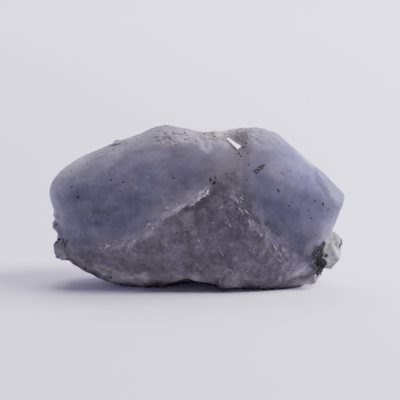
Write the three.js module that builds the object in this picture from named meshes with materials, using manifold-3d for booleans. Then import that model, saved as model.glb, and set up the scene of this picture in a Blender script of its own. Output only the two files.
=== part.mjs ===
// Rough tanzanite: one broken crystal of violet-blue zoisite, as dug, with a grain of calcite and
// a little graphite grown into its right end. It is a single solid.
//
// Millimetres. X runs along the stone, -Y is its front, +Z is up. The origin is under the middle of
// the stone, on the surface that it rests on.
//
// The skin of the body is worked out along rays from the heart of the stone: a rounded shape is cut by
// flat faces and hollowed by scoops, each face gets the grain of its own break, and ledges step the
// front and the back. Angular crumbs are then joined on.

import Module from 'manifold-3d';
import * as THREE from 'three';
import { ConvexGeometry } from 'three/addons/geometries/ConvexGeometry.js';
import { ImprovedNoise } from 'three/addons/math/ImprovedNoise.js';
import { SimplifyModifier } from 'three/addons/modifiers/SimplifyModifier.js';
import { mergeVertices } from 'three/addons/utils/BufferGeometryUtils.js';

// Driving dimensions
const LENGTH = 32; // left bulge to right corner
const HEIGHT = 17.2; // resting spot to the left summit
const FRONT_DEPTH = 7.6; // heart to the front of the body
const BACK_DEPTH = 7.6; // heart to the back of the body
const FULLNESS = 2.5; // 2 is an ellipsoid's round edge, more is fuller
const HEART = new THREE.Vector3(0, 0, 8.4);

// Mesh
const RAY_DETAIL = 76; // subdivisions of the icosahedron that sends out the rays
const TRIANGLES = 8500; // what is kept of them

// How softly two faces meet, and how softly a scoop meets the body
const EDGE_ROUNDING = 0.3;
const SCOOP_ROUNDING = 0.45;

// Relief of the breaks
const SHELL_SIZE = 2.3; // width of one shell-shaped hollow of a rough break
const CHIP_SIZE = 1.1; // width of the smaller hollows on top of them
const CRUMB_CORNERS = 20; // corners of one crumb
const CRUMB_CLEARANCE = 0.06; // crumbs stay this far above the surface that the stone rests on
const SWELL = 0.16; // gentle waves that even the smooth faces have

// ---------------------------------------------------------------------------------------------
// Outline of the stone seen from the front, clockwise from the lower left, as [x, z]

const outline = new THREE.Path()
	.moveTo(-15.1, 3.5)
	// Left end
	.splineThru(points([[-15.1, 5.0], [-15.2, 7.2], [-16.0, 9.6], [-15.7, 11.0], [-14.4, 12.5]]))
	// Upper left slope to the left summit
	.lineTo(-9.5, 14.9)
	.splineThru(points([[-6.6, 16.0], [-4.6, 16.9], [-3.0, 17.0], [-1.2, 16.5]]))
	// Saddle and right summit
	.splineThru(points([[1.4, 16.15], [4.2, 16.6], [6.8, 16.7], [8.6, 16.05], [10.0, 15.05]]))
	// Long straight edge of the crystal down to the right corner
	.lineTo(15.9, 9.75)
	.splineThru(points([[16.0, 9.0], [15.3, 6.9], [14.8, 5.2], [14.2, 2.8]]))
	// Lower right corner
	.splineThru(points([[13.0, 1.0], [11.0, -0.2], [8.0, -0.7]]))
	// Underside
	.splineThru(points([[2.0, -0.7], [-5.0, -0.6], [-8.2, 0.0]]))
	.lineTo(-11.0, 1.1)
	.closePath();

// Flat faces, each through a point. `turn` is how far a face looks round from the front towards the
// right and `tilt` how far it looks up, in degrees. `grain` is the depth of its relief. A face with
// a `rounding` runs softly into its neighbours.
const FACES = [
	{ name: 'dome front', at: [-6, -7.1, 10.3], turn: -10, tilt: 15, grain: 0.03, rounding: 1.6 },
	{ name: 'dome top', at: [-4, -3.8, 15.4], turn: 4, tilt: 54, grain: 0.1, rounding: 1.6 },
	{ name: 'upper left slope', at: [-10.0, 0, 14.8], turn: -95, tilt: 66, grain: 0.12, rounding: 0.8 },
	{ name: 'left end, lower', at: [-14.6, -2.6, 6.0], turn: -66, tilt: -14, grain: 0.2, rounding: 0.8 },
	{ name: 'right front face', at: [9, -5.8, 8.6], turn: 17, tilt: 11, grain: 0.02, rounding: 0.8 },
	{ name: 'right front face, top', at: [7, -3.5, 14.9], turn: 12, tilt: 45, grain: 0.05, rounding: 1.8 },
	{ name: 'pale bevel', at: [13.6, -3.3, 10.95], turn: 55, tilt: 29, grain: 0 },
	{ name: 'upper right side', at: [12.95, 0, 12.4], turn: 98, tilt: 48, grain: 0.03 },
	{ name: 'right end', at: [15.2, -1, 7.4], turn: 80, tilt: -22, grain: 0.1 },
	{ name: 'lower right front', at: [11.4, -5.2, 3.6], turn: 24, tilt: -26, grain: 0.25, rounding: 0.8 },
	{ name: 'broken lower front', at: [0, -6.9, 4.4], turn: 2, tilt: -15, grain: 0.28, rounding: 0.8 },
	{ name: 'under the front', at: [-6.5, -4.6, 1.9], turn: -14, tilt: -42, grain: 0.3, rounding: 0.6 },
	{ name: 'underside left', at: [-11.0, 0, 1.1], turn: -95, tilt: -60, grain: 0.3 },
	{ name: 'back cleavage', at: [-2, 7.1, 9], turn: 173, tilt: 7, grain: 0.02 },
	{ name: 'back left', at: [-11.4, 4.7, 8.6], turn: -139, tilt: 4, grain: 0.2 },
	{ name: 'back upper slope', at: [1, 4.7, 14.2], turn: 178, tilt: 47, grain: 0.1 },
	{ name: 'back upper left', at: [-8.6, 3.6, 13.2], turn: -160, tilt: 40, grain: 0.16 },
	{ name: 'back underside', at: [2, 5.3, 2.3], turn: 186, tilt: -40, grain: 0.3 },
	{ name: 'back right', at: [11.2, 4.6, 7.6], turn: 133, tilt: -5, grain: 0.06 },
];
const BODY_GRAIN = 0.12;

// The flat spot that the stone rests on
const REST = { name: 'resting spot', at: [0, 0, 0], turn: 0, tilt: -90 };

// Angular crumbs grown or stuck on. `size` holds their half widths along X, Y and Z, and `lean` drops
// their right side by so many degrees.
const CRUMBS = [
	{ name: 'calcite grain', at: [13.8, -1.6, 3.4], size: [2.5, 3.0, 2.4], lean: 10 },
	{ name: 'crumb over the calcite', at: [14.3, -1.5, 4.9], size: [1.5, 2.0, 1.0], lean: 16 },
	{ name: 'graphite corner', at: [12.0, -3.0, 2.1], size: [1.8, 2.0, 2.1], lean: 20 },
	{ name: 'graphite crumb', at: [12.3, -3.6, 4.1], size: [1.0, 1.4, 1.2], lean: 0 },
	{ name: 'pale lump under the front', at: [3.9, -4.0, 1.6], size: [2.6, 2.3, 1.6], lean: 0 },
	{ name: 'pale lump, lower left', at: [-5.7, -3.1, 1.5], size: [2.1, 2.1, 1.4], lean: 0 },
	{ name: 'low crumb left of it', at: [-9.4, -2.2, 1.9], size: [2.0, 1.9, 1.0], lean: -30 },
	{ name: 'low crumb, far left', at: [-12.2, -1.4, 3.0], size: [1.8, 1.7, 0.9], lean: -32 },
	{ name: 'lower left crumb', at: [-13.7, -1.4, 4.2], size: [2.2, 2.7, 1.35], lean: -25 },
	{ name: 'left end crumb', at: [-14.6, -0.4, 6.5], size: [1.1, 1.9, 0.7], lean: 0 },
	{ name: 'raised flake', at: [-8.9, -0.4, 15.0], size: [1.1, 1.5, 0.5], lean: -36 },
	{ name: 'left summit', at: [-3.6, 0.2, 16.2], size: [1.9, 1.8, 1.0], lean: -10 },
	{ name: 'saddle crumb, left', at: [-1.2, -0.4, 16.1], size: [1.0, 1.5, 0.7], lean: 0 },
	{ name: 'saddle crumb, middle', at: [0.6, -1.2, 15.7], size: [0.9, 1.1, 0.7], lean: 10 },
	{ name: 'saddle crumb, right', at: [1.9, -0.4, 15.9], size: [1.1, 1.4, 0.8], lean: -8 },
	{ name: 'smoky knob', at: [4.4, -0.9, 16.0], size: [1.5, 1.8, 0.95], lean: 0 },
	{ name: 'right summit', at: [6.6, 0.5, 16.0], size: [1.5, 1.6, 0.9], lean: 6 },
	{ name: 'step of the right summit', at: [8.6, 0.5, 15.6], size: [1.1, 1.5, 0.75], lean: 24 },
	{ name: 'white chip', at: [3.9, -2.5, 15.25], size: [1.0, 0.65, 0.35], lean: 38 },
	{ name: 'crumb on the back', at: [5.2, 4.8, 13.0], size: [2.0, 1.6, 1.5], lean: 15 },
	{ name: 'chip on the back', at: [7.4, 4.6, 12.2], size: [1.1, 1.2, 0.9], lean: 30 },
	{ name: 'block under the back', at: [-6.2, 4.3, 2.7], size: [2.9, 2.2, 1.7], lean: -6 },
	{ name: 'crumb under the back', at: [1.2, 5.0, 2.4], size: [1.6, 1.3, 1.0], lean: 8 },
];

// Scoops: the hollows that egg-shaped flakes left
const SCOOPS = [
	{ name: 'arch under the front', at: [-0.4, -4.9, -0.5], size: [3.4, 4.4, 1.7], lean: 0 },
	{ name: 'notch in the left end', at: [-16.0, -0.5, 7.35], size: [1.0, 3.0, 0.45], lean: 0 },
	{ name: 'nick in the left end', at: [-16.1, -0.5, 5.25], size: [1.1, 3.0, 0.5], lean: 0 },
	{ name: 'notch over the calcite', at: [16.5, -0.6, 5.9], size: [1.7, 3.6, 0.6], lean: 10 },
	{ name: 'hollow beside the knob', at: [2.2, -5.2, 16.2], size: [1.9, 2.6, 1.5], lean: 30 },
	{ name: 'shell on the back right', at: [9.4, 8.8, 6.4], size: [5.0, 3.6, 4.6], lean: -20 },
	{ name: 'shell on the back left', at: [-14.4, 6.4, 5.6], size: [4.6, 3.2, 3.4], lean: 20 },
	{ name: 'shell in the underside', at: [6.2, 1.4, -1.9], size: [4.2, 2.9, 2.5], lean: 0 },
	{ name: 'small shell in the underside', at: [-3.2, 3.0, -1.0], size: [2.6, 1.8, 1.5], lean: 0 },
];

// Ledges, as [x, z, how far the upper side stands proud of the lower side]. Where the last number is
// below zero, the lower side is the proud one.
const FRONT_LEDGE = [
	[-14.1, 5.3, 0.2], [-13.1, 4.6, 0.25], [-12.0, 4.2, 0.3], [-10.6, 4.3, 0.35], [-9.5, 4.8, 0.45],
	[-8.5, 5.5, 0.45], [-6.7, 5.9, 0.45], [-5.3, 6.7, 0.5], [-4.1, 7.6, 0.6], [-2.9, 8.6, 0.75],
	[-1.6, 9.2, 1.1], [-0.6, 9.7, 1.4], [0.2, 10.2, 1.4], [0.9, 10.9, 0.9], [1.6, 11.5, 0.5],
	[3.0, 12.6, 0.35], [4.1, 13.9, 0.3], [4.3, 15.2, 0.2],
];
const BACK_LEDGE = [
	[-13.0, 11.0, -0.3], [-10.2, 9.6, -0.6], [-7.4, 9.3, -0.8], [-5.6, 7.4, -0.9], [-2.2, 6.6, -1.0],
	[0.6, 6.9, -0.9], [2.6, 5.2, -0.8], [5.2, 4.6, -0.5], [7.0, 3.2, -0.3],
];
const LEDGE_WIDTH = 0.3; // how far one step takes to drop
const LEDGE_WANDER = 0.35; // how far chips move it off its line

// Where the smooth right front face gives way to the rough break under it, as [x, z]
const ROUGH_EDGE = [[3.4, 12.2], [5.0, 9.8], [6.7, 9.2], [9.1, 6.1], [10.7, 4.1], [15.5, 3.2]];

// ---------------------------------------------------------------------------------------------
// Geometry of one ray

function points(list) {
	return list.map(([x, z]) => new THREE.Vector2(x, z));
}

// The distance from the heart to the outline, for every angle in the XZ plane
const outlineReaches = outline.getPoints(12).map((p) => {
	const x = p.x - HEART.x;
	const z = p.y - HEART.z;
	return { angle: Math.atan2(z, x), reach: Math.hypot(x, z) };
});
outlineReaches.sort((a, b) => a.angle - b.angle);

function outlineReach(angle) {
	const count = outlineReaches.length;
	let next = outlineReaches.findIndex((entry) => entry.angle > angle);
	if (next < 0) next = count;
	const a = outlineReaches[(next + count - 1) % count];
	const b = outlineReaches[next % count];
	const turn = 2 * Math.PI;
	const gap = (b.angle - a.angle + turn) % turn;
	const share = gap > 0 ? ((angle - a.angle + turn) % turn) / gap : 0;
	return THREE.MathUtils.lerp(a.reach, b.reach, share);
}

// The rounded body: the outline swells to the front and back depth
function bodyReach(ray) {
	const depth = ray.y < 0 ? FRONT_DEPTH : BACK_DEPTH;
	const across = Math.hypot(ray.x, ray.z) / outlineReach(Math.atan2(ray.z, ray.x));
	const along = Math.abs(ray.y) / depth;
	return Math.pow(across ** FULLNESS + along ** FULLNESS, -1 / FULLNESS);
}

function plane({ at, turn, tilt, grain = 0, rounding = EDGE_ROUNDING }) {
	const t = THREE.MathUtils.degToRad(turn);
	const e = THREE.MathUtils.degToRad(tilt);
	const normal = new THREE.Vector3(Math.sin(t) * Math.cos(e), -Math.cos(t) * Math.cos(e), Math.sin(e));
	return { normal, grain, rounding, offset: normal.dot(new THREE.Vector3(...at).sub(HEART)) };
}

function planeReach({ normal, offset }, ray) {
	const facing = normal.dot(ray);
	return facing > 1e-6 ? offset / facing : Infinity;
}

function egg({ at, size, lean }) {
	const upright = new THREE.Matrix4().makeRotationY(THREE.MathUtils.degToRad(-lean));
	const half = new THREE.Vector3(...size);
	const heart = HEART.clone().sub(new THREE.Vector3(...at)).applyMatrix4(upright).divide(half);
	return { upright, half, heart };
}

// Where a ray goes into an egg
function eggReach({ upright, half, heart }, ray) {
	const direction = ray.clone().applyMatrix4(upright).divide(half);
	const a = direction.lengthSq();
	const b = heart.dot(direction);
	const c = heart.lengthSq() - 1;
	const root = b * b - a * c;
	return root > 0 ? (-b - Math.sqrt(root)) / a : Infinity;
}

const faces = FACES.map(plane);
const rest = plane(REST);
const scoops = SCOOPS.map(egg);

function softMin(a, b, width) {
	const h = Math.max(width - Math.abs(a - b), 0) / width;
	return Math.min(a, b) - (h * h * width) / 4;
}

// ---------------------------------------------------------------------------------------------
// Relief

function scatter(i, j, k, salt) {
	let h = Math.imul(i, 73856093) ^ Math.imul(j, 19349663) ^ Math.imul(k, 83492791) ^ Math.imul(salt, 971);
	h = Math.imul(h ^ (h >>> 15), 2246822519);
	h = Math.imul(h ^ (h >>> 13), 3266489917);
	return ((h ^ (h >>> 16)) >>> 0) / 4294967296;
}

// Shell-shaped hollows side by side with sharp ridges between them, from about -0.5 to 0.5
function shells(p, size) {
	const x = p.x / size;
	const y = p.y / size;
	const z = p.z / size;
	let nearest = Infinity;
	for (let i = Math.floor(x) - 1; i <= Math.floor(x) + 1; i++) {
		for (let j = Math.floor(y) - 1; j <= Math.floor(y) + 1; j++) {
			for (let k = Math.floor(z) - 1; k <= Math.floor(z) + 1; k++) {
				const dx = i + scatter(i, j, k, 1) - x;
				const dy = j + scatter(i, j, k, 2) - y;
				const dz = k + scatter(i, j, k, 3) - z;
				nearest = Math.min(nearest, dx * dx + dy * dy + dz * dz + 0.4 * scatter(i, j, k, 4));
			}
		}
	}
	return nearest - 0.5;
}

const noise = new ImprovedNoise();

function waves(p, size) {
	return noise.noise(p.x / size + 7.3, p.y / size + 3.1, p.z / size + 5.7);
}

// How far a point is above a line of [x, z, height] corners seen from the front, less than 0 below
// it, and the height that the line has there. The line runs from left to right.
function sideOf(line, x, z) {
	let distance = Infinity;
	let above = z > line[0][1];
	let heights = 0;
	let weights = 0;
	for (let i = 0; i + 1 < line.length; i++) {
		const [ax, az, aHeight = 0] = line[i];
		const [bx, bz, bHeight = 0] = line[i + 1];
		const squared = (bx - ax) ** 2 + (bz - az) ** 2;
		const along = THREE.MathUtils.clamp(((x - ax) * (bx - ax) + (z - az) * (bz - az)) / squared, 0, 1);
		const apart = Math.hypot(x - ax - along * (bx - ax), z - az - along * (bz - az));
		const weight = 1 / (apart + 0.05) ** 4;
		distance = Math.min(distance, apart);
		heights += weight * THREE.MathUtils.lerp(aHeight, bHeight, along);
		weights += weight;
		if (x >= ax) above = z > THREE.MathUtils.lerp(az, bz, Math.min((x - ax) / (bx - ax), 1));
	}
	const past = Math.max(line[0][0] - x, x - line[line.length - 1][0], 0);
	return { up: above ? distance : -distance, height: (heights / weights) * Math.exp(-past * past) };
}

// The step of a ledge: highest right at its edge, falling away over a few millimetres
function step(line, x, z, wander) {
	const side = sideOf(line, x, z);
	const across = Math.sign(side.height) * side.up + wander;
	const rise = THREE.MathUtils.smoothstep(across, -LEDGE_WIDTH / 2, LEDGE_WIDTH / 2);
	const high = 0.45 * Math.exp(-Math.max(across, 0) / 2.6);
	const low = -0.55 * Math.exp(Math.min(across, 0) / 2.2);
	return Math.abs(side.height) * THREE.MathUtils.lerp(low, high, rise);
}

// How much of the rough break there is at a point of the front, from 0 to 1
function roughFront(x, z) {
	const underDome = THREE.MathUtils.smoothstep(-sideOf(FRONT_LEDGE, x, z).up, -0.3, 0.4);
	const underFace = THREE.MathUtils.smoothstep(-sideOf(ROUGH_EDGE, x, z).up, -0.8, 0.8);
	return underDome * (x < ROUGH_EDGE[0][0] ? 1 : underFace);
}

// ---------------------------------------------------------------------------------------------

function skin(ray) {
	let reach = bodyReach(ray);
	const reaches = faces.map((face) => planeReach(face, ray));
	const body = reach;
	reaches.forEach((faceReach, i) => {
		reach = softMin(reach, faceReach, faces[i].rounding);
	});

	// Every face that is close to being the outermost one here lends its grain
	let grain = BODY_GRAIN * Math.exp(reach - body);
	let share = Math.exp(reach - body);
	reaches.forEach((faceReach, i) => {
		const weight = Math.exp((reach - faceReach) / 0.25);
		grain += faces[i].grain * weight;
		share += weight;
	});
	grain /= share;

	for (const scoop of scoops) {
		const near = eggReach(scoop, ray);
		if (near > 0) reach = softMin(reach, near, SCOOP_ROUNDING);
	}

	const p = ray.clone().multiplyScalar(reach).add(HEART);
	const front = THREE.MathUtils.smoothstep(-p.y, 0.8, 3.2);
	const back = THREE.MathUtils.smoothstep(p.y, 0.8, 3.2);
	const rough = front * roughFront(p.x, p.z);
	grain = THREE.MathUtils.lerp(grain, Math.max(grain, 0.26), rough);
	reach += grain * (1.5 * shells(p, SHELL_SIZE) + 0.7 * shells(p, CHIP_SIZE));
	reach += SWELL * waves(p, 4.2);
	p.copy(ray).multiplyScalar(reach).add(HEART);

	const wander = LEDGE_WANDER * waves(p, 1.1);
	p.y -= front * step(FRONT_LEDGE, p.x, p.z, wander);
	p.y += back * step(BACK_LEDGE, p.x, p.z, wander);
	p.z = Math.max(p.z, 0);
	return p;
}

async function bodyGeometry() {
	let geometry = new THREE.IcosahedronGeometry(1, RAY_DETAIL);
	geometry.deleteAttribute('normal');
	geometry.deleteAttribute('uv');
	geometry = mergeVertices(geometry, 1e-5);
	const position = geometry.getAttribute('position');
	const stretch = new THREE.Vector3(LENGTH / 2, FRONT_DEPTH, HEIGHT / 2);
	const ray = new THREE.Vector3();
	for (let i = 0; i < position.count; i++) {
		ray.fromBufferAttribute(position, i).multiply(stretch).normalize();
		position.setXYZ(i, ...skin(ray));
	}
	const triangles = geometry.index.count / 3;
	const spare = Math.round((1 - TRIANGLES / triangles) * position.count);
	return await new SimplifyModifier().modify(geometry, spare);
}

// A crumb: corners scattered evenly over an egg, with flat facets between them
function crumbGeometry({ at, size, lean }, salt) {
	const corners = [];
	for (let i = 0; i < CRUMB_CORNERS; i++) {
		const up = 1 - (2 * i + 1) / CRUMB_CORNERS;
		const turn = 2.4 * i + 1.1 * scatter(i, salt, 0, 5);
		const out = Math.sqrt(1 - up * up);
		const corner = new THREE.Vector3(out * Math.cos(turn), out * Math.sin(turn), up);
		corner.multiplyScalar(0.82 + 0.22 * scatter(i, salt, 0, 6)).multiply(new THREE.Vector3(...size));
		corner.applyAxisAngle(new THREE.Vector3(0, 1, 0), THREE.MathUtils.degToRad(lean));
		corner.add(new THREE.Vector3(...at));
		corner.z = Math.max(corner.z, CRUMB_CLEARANCE);
		corners.push(corner);
	}
	return new ConvexGeometry(corners);
}

const wasm = await Module();
wasm.setup();

function solid(geometry) {
	const bare = new THREE.BufferGeometry();
	bare.setAttribute('position', geometry.getAttribute('position'));
	bare.setIndex(geometry.index);
	const merged = mergeVertices(bare, 1e-5);
	const mesh = new wasm.Mesh({
		numProp: 3,
		vertProperties: new Float32Array(merged.getAttribute('position').array),
		triVerts: new Uint32Array(merged.index.array),
	});
	return new wasm.Manifold(mesh);
}

function geometryOf(manifold) {
	const { vertProperties, triVerts } = manifold.getMesh();
	const geometry = new THREE.BufferGeometry();
	geometry.setAttribute('position', new THREE.BufferAttribute(vertProperties, 3));
	geometry.setIndex(new THREE.BufferAttribute(triVerts, 1));
	geometry.computeVertexNormals();
	return geometry;
}

let joined = solid(await bodyGeometry());
CRUMBS.forEach((shape, salt) => {
	joined = joined.add(solid(crumbGeometry(shape, salt)));
});

const zoisite = new THREE.MeshStandardMaterial({
	name: 'zoisite',
	color: 0x7f7ba0,
	roughness: 0.45,
	metalness: 0,
});

const stone = new THREE.Mesh(geometryOf(joined), zoisite);
stone.name = 'stone';

const tanzanite = new THREE.Group();
tanzanite.add(stone);

export default tanzanite;
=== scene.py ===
# %% [markdown]
# # Rough tanzanite
#
# This lesson dresses a piece of rough tanzanite, which is violet-blue zoisite as it comes out of
# the ground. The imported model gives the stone's solid, with its flat faces, ledges and crumbs.
# Here the solid gets its fine surface: the grain of each break, the frost on the edges, and the
# colours inside.
#
# Lengths in this script are in millimetres until the very end, because a small stone is easier to
# think about that way. MM turns them into Blender's metres.

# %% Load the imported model
import math

import bmesh
import bpy
import numpy as np
from mathutils import Matrix, Vector
from mathutils.bvhtree import BVHTree
from mathutils.kdtree import KDTree


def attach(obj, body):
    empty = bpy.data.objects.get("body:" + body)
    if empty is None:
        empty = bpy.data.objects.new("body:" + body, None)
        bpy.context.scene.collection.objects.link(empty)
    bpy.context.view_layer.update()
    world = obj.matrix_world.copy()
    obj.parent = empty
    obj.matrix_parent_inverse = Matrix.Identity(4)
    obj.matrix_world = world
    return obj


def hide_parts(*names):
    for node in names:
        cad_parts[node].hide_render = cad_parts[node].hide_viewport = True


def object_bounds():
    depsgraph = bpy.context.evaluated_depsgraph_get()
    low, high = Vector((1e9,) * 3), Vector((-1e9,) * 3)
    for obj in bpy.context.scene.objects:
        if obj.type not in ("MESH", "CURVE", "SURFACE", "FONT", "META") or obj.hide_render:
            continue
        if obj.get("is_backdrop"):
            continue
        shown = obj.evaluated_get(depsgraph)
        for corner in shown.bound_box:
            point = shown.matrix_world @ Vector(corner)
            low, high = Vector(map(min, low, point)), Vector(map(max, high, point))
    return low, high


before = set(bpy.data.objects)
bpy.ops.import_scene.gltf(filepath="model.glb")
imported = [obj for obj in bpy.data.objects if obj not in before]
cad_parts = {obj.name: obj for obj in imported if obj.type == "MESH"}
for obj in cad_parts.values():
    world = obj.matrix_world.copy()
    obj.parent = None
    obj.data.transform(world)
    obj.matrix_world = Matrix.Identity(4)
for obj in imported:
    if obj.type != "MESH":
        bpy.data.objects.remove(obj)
cad_low, cad_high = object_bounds()
MM = 0.001
LOW = np.array(cad_low) / MM
HIGH = np.array(cad_high) / MM
print("the stone measures", np.round(HIGH - LOW, 2), "mm")


def new_object(name, data):
    """A new object in the scene that shows this data."""
    made = bpy.data.objects.new(name, data)
    bpy.context.scene.collection.objects.link(made)
    return made

# %% [markdown]
# ## Camera
#
# A stone this small is pictured with a long lens from close by, a little above the table. A long
# lens keeps the near and the far end in proportion. The camera comes first, so that every later
# step can be looked at from the same place.

# %% Camera
CAMERA_DISTANCE = 119.7
CAMERA_ELEVATION = math.radians(8)
AIM = Vector((0, 0, 9.0))
PICTURE_SIDE = 400  # the picture is square, and this many dots wide

lens = bpy.data.cameras.new("long_lens")
lens.lens = 100
lens.sensor_width = 36
lens.shift_x = 0.00875
lens.clip_start = 0.005
lens.clip_end = 5
camera = new_object("camera", lens)
towards_camera = Vector((0, -math.cos(CAMERA_ELEVATION), math.sin(CAMERA_ELEVATION)))
camera.location = (AIM + towards_camera * CAMERA_DISTANCE) * MM
camera.rotation_mode = "QUATERNION"
camera.rotation_quaternion = towards_camera.to_track_quat("Z", "Y")
bpy.context.scene.camera = camera
print("camera at", tuple(round(c, 4) for c in camera.location))

# %% [markdown]
# ## Unevenness
#
# Three kinds of unevenness make nearly every stone surface. *Waves* are soft swells. *Shells* are
# the hollows that chips leave side by side, with sharp ridges between them. *Steps* are small
# flat pieces, each tilted its own way, as a crystal shows where it split along its grain. All
# three start from one function that turns whole numbers into a scattered value, so the surface is
# the same on every run.


# %% Scattered values
AXIS_PRIMES = (73856093, 19349663, 83492791)  # large, so that neighbouring cells differ
SALT_PRIME = 971
MIXERS = (2246822519, 3266489917)
LARGEST = 0xFFFFFFFF  # of 32 bits


def scattered(cells, salt):
    """A value from 0 to 1 for each row of three whole numbers."""
    mixed = salt * SALT_PRIME
    for k, prime in enumerate(AXIS_PRIMES):
        mixed = mixed ^ cells[..., k].astype(np.int64) * prime
    mixed = (mixed & LARGEST) * MIXERS[0] & LARGEST
    mixed = (mixed ^ mixed >> 13) * MIXERS[1] & LARGEST
    return (mixed ^ mixed >> 16) / LARGEST


def soft_step(value, start, end):
    """0 before start, 1 after end, and a soft rise between them."""
    t = np.clip((value - start) / (end - start), 0, 1)
    return t * t * (3 - 2 * t)


# %% Waves, shells and steps
def waves(points, size, salt=0):
    """Soft swells of about that size, from -1 to 1."""
    p = points / size
    cell = np.floor(p)
    part = p - cell
    part = part * part * (3 - 2 * part)
    total = np.zeros(len(p))
    for corner in np.ndindex(2, 2, 2):
        weight = np.prod(np.where(corner, part, 1 - part), axis=1)
        total += weight * scattered(cell + corner, salt)
    return 2 * total - 1


def nearest_hearts(points, size, salt, spread):
    """Each point's squared distance from the nearest heart, the way from it, and its cell."""
    p = points / size
    cell = np.floor(p)
    reach = np.full(len(p), np.inf)
    beside = np.zeros_like(p)
    own = np.zeros_like(p)
    for step in np.ndindex(3, 3, 3):
        c = cell + np.array(step) - 1
        heart = c + np.stack([scattered(c, salt + k) for k in (1, 2, 3)], axis=1)
        far = ((p - heart) ** 2).sum(axis=1) + spread * scattered(c, salt + 4)
        closer = far < reach
        reach[closer] = far[closer]
        beside[closer] = (p - heart)[closer]
        own[closer] = c[closer]
    return reach, beside, own


def shells(points, size, salt=0):
    """Hollows of about that size, from about -0.5 in the middle to 0.5 on the ridges."""
    return nearest_hearts(points, size, salt, 0.4)[0] - 0.5


def steps(points, size, salt=0):
    """Small flats of about that size, each at its own height and tilt, from about -0.5 to 0.5."""
    _, beside, own = nearest_hearts(points, size, salt, 0.3)
    tilt = np.stack([scattered(own, salt + k) for k in (11, 12, 13)], axis=1) - 0.5
    return (beside * tilt).sum(axis=1) * 1.2 + (scattered(own, salt + 14) - 0.5) * 0.5


GRAIN_TILT = math.radians(-50)  # the crystal's grain runs down to the right across the front
GRAIN = np.array([math.cos(GRAIN_TILT), 0, math.sin(GRAIN_TILT)])


def along_grain(points, longer):
    """The same points, squeezed along the grain, so that what is drawn there is longer."""
    along = points @ GRAIN
    return points + np.outer(along / longer - along, GRAIN)


# %% [markdown]
# ## A fine skin over the solid
#
# The solid is made of some ten thousand flat facets, which suits collision and is too coarse for
# the eye. It could be subdivided, but its facets are uneven, and long thin ones would crease. A
# voxel remesh lays an even grid of small faces over it instead, fine enough to carry the grain of
# a break.

# %% Remesh the solid
SKIN_STEP = 0.153  # a finer grid would be more triangles than one piece should have

block = new_object("block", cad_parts["stone"].data.copy())
block.data.materials.clear()
block.data.transform(Matrix.Scale(1 / MM, 4))
solid_tree = BVHTree.FromObject(block, bpy.context.evaluated_depsgraph_get())
grid = block.modifiers.new("grid", "REMESH")
grid.mode = "VOXEL"
grid.voxel_size = SKIN_STEP
depsgraph = bpy.context.evaluated_depsgraph_get()
skin = bpy.data.meshes.new_from_object(block.evaluated_get(depsgraph), depsgraph=depsgraph)
skin.calc_loop_triangles()
print("the skin has", len(skin.vertices), "points and", len(skin.loop_triangles), "triangles")

# %% [markdown]
# The skin's points are now read into one table. Most of what follows is arithmetic on that table,
# which is much quicker than visiting the points one by one. The remesh leaves faint terraces,
# like the lines on a map, because its points lie on a grid. So each point is first drawn onto the
# solid's own surface.


# %% Read the skin
def read(collection, name, width, kind=float):
    """One value, or several, of every item in a Blender collection, as a table."""
    values = np.empty(len(collection) * width, np.int32 if kind is int else np.float32)
    collection.foreach_get(name, values)
    return values.reshape(-1, width).astype(kind)


places = read(skin.vertices, "co", 3)
places = np.array([solid_tree.find_nearest(p)[0] for p in places])
edges = read(skin.edges, "vertices", 2, int)
neighbours = np.bincount(edges.ravel(), minlength=len(places))


def evened(values, share, rounds):
    """Moves every point's values towards the mean of its neighbours', again and again."""
    a, b = edges.T
    values = values.reshape(len(neighbours), -1)
    for _ in range(rounds):
        mean = np.empty_like(values)
        for k in range(values.shape[1]):
            mean[:, k] = np.bincount(a, values[b, k], len(values))
            mean[:, k] += np.bincount(b, values[a, k], len(values))
        values = values + np.reshape(share, (-1, 1)) * (mean / neighbours[:, None] - values)
    return values


def outward(points):
    """The direction that the skin faces at each point, when its points are at these places."""
    skin.vertices.foreach_set("co", points.astype(np.float32).ravel())
    skin.update()
    return read(skin.vertices, "normal", 3)


edge_lengths = np.linalg.norm(np.diff(places[edges], axis=1), axis=2)
print("longest edge", round(float(edge_lengths.max()), 3), "mm")

# %% [markdown]
# ## Where each kind of surface lies
#
# Seen from the front the stone has three parts. A smooth dome fills the upper left, a smooth flat
# face the upper right, and rough broken rock the middle and the bottom. Two lines part them,
# drawn here in x and z as the solid has them. A third line parts the cleavage face on the back
# from the broken rock below it.

# %% Lines on the stone
DOME_LEDGE = [(-14.1, 5.3), (-13.1, 4.6), (-12.0, 4.2), (-10.6, 4.3), (-9.5, 4.8), (-8.5, 5.5)]
DOME_LEDGE += [(-6.7, 5.9), (-5.3, 6.7), (-4.1, 7.6), (-2.9, 8.6), (-1.6, 9.2), (-0.6, 9.7)]
DOME_LEDGE += [(0.2, 10.2), (0.9, 10.9), (1.6, 11.5), (2.6, 12.0), (4.4, 12.4)]
FACE_FOOT = [(3.4, 12.2), (5.0, 9.8), (6.7, 9.2), (9.1, 6.1), (10.7, 4.1), (15.5, 3.2)]
BACK_LEDGE = [(-13.0, 11.0), (-10.2, 9.6), (-7.4, 9.3), (-5.6, 7.4), (-2.2, 6.6), (0.6, 6.9)]
BACK_LEDGE += [(2.6, 5.2), (5.2, 4.6), (7.0, 3.2)]


def above(line, points):
    """How far each point lies above a line that is drawn in x and z, or below it if negative."""
    x, z = points[:, 0], points[:, 2]
    corners = np.array(line)
    nearest = np.full(len(points), np.inf)
    for (x0, z0), (x1, z1) in zip(corners[:-1], corners[1:]):
        run, rise = x1 - x0, z1 - z0
        share = np.clip(((x - x0) * run + (z - z0) * rise) / (run * run + rise * rise), 0, 1)
        nearest = np.minimum(nearest, np.hypot(x - x0 - share * run, z - z0 - share * rise))
    return nearest * np.sign(z - np.interp(x, corners[:, 0], corners[:, 1]))


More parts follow.
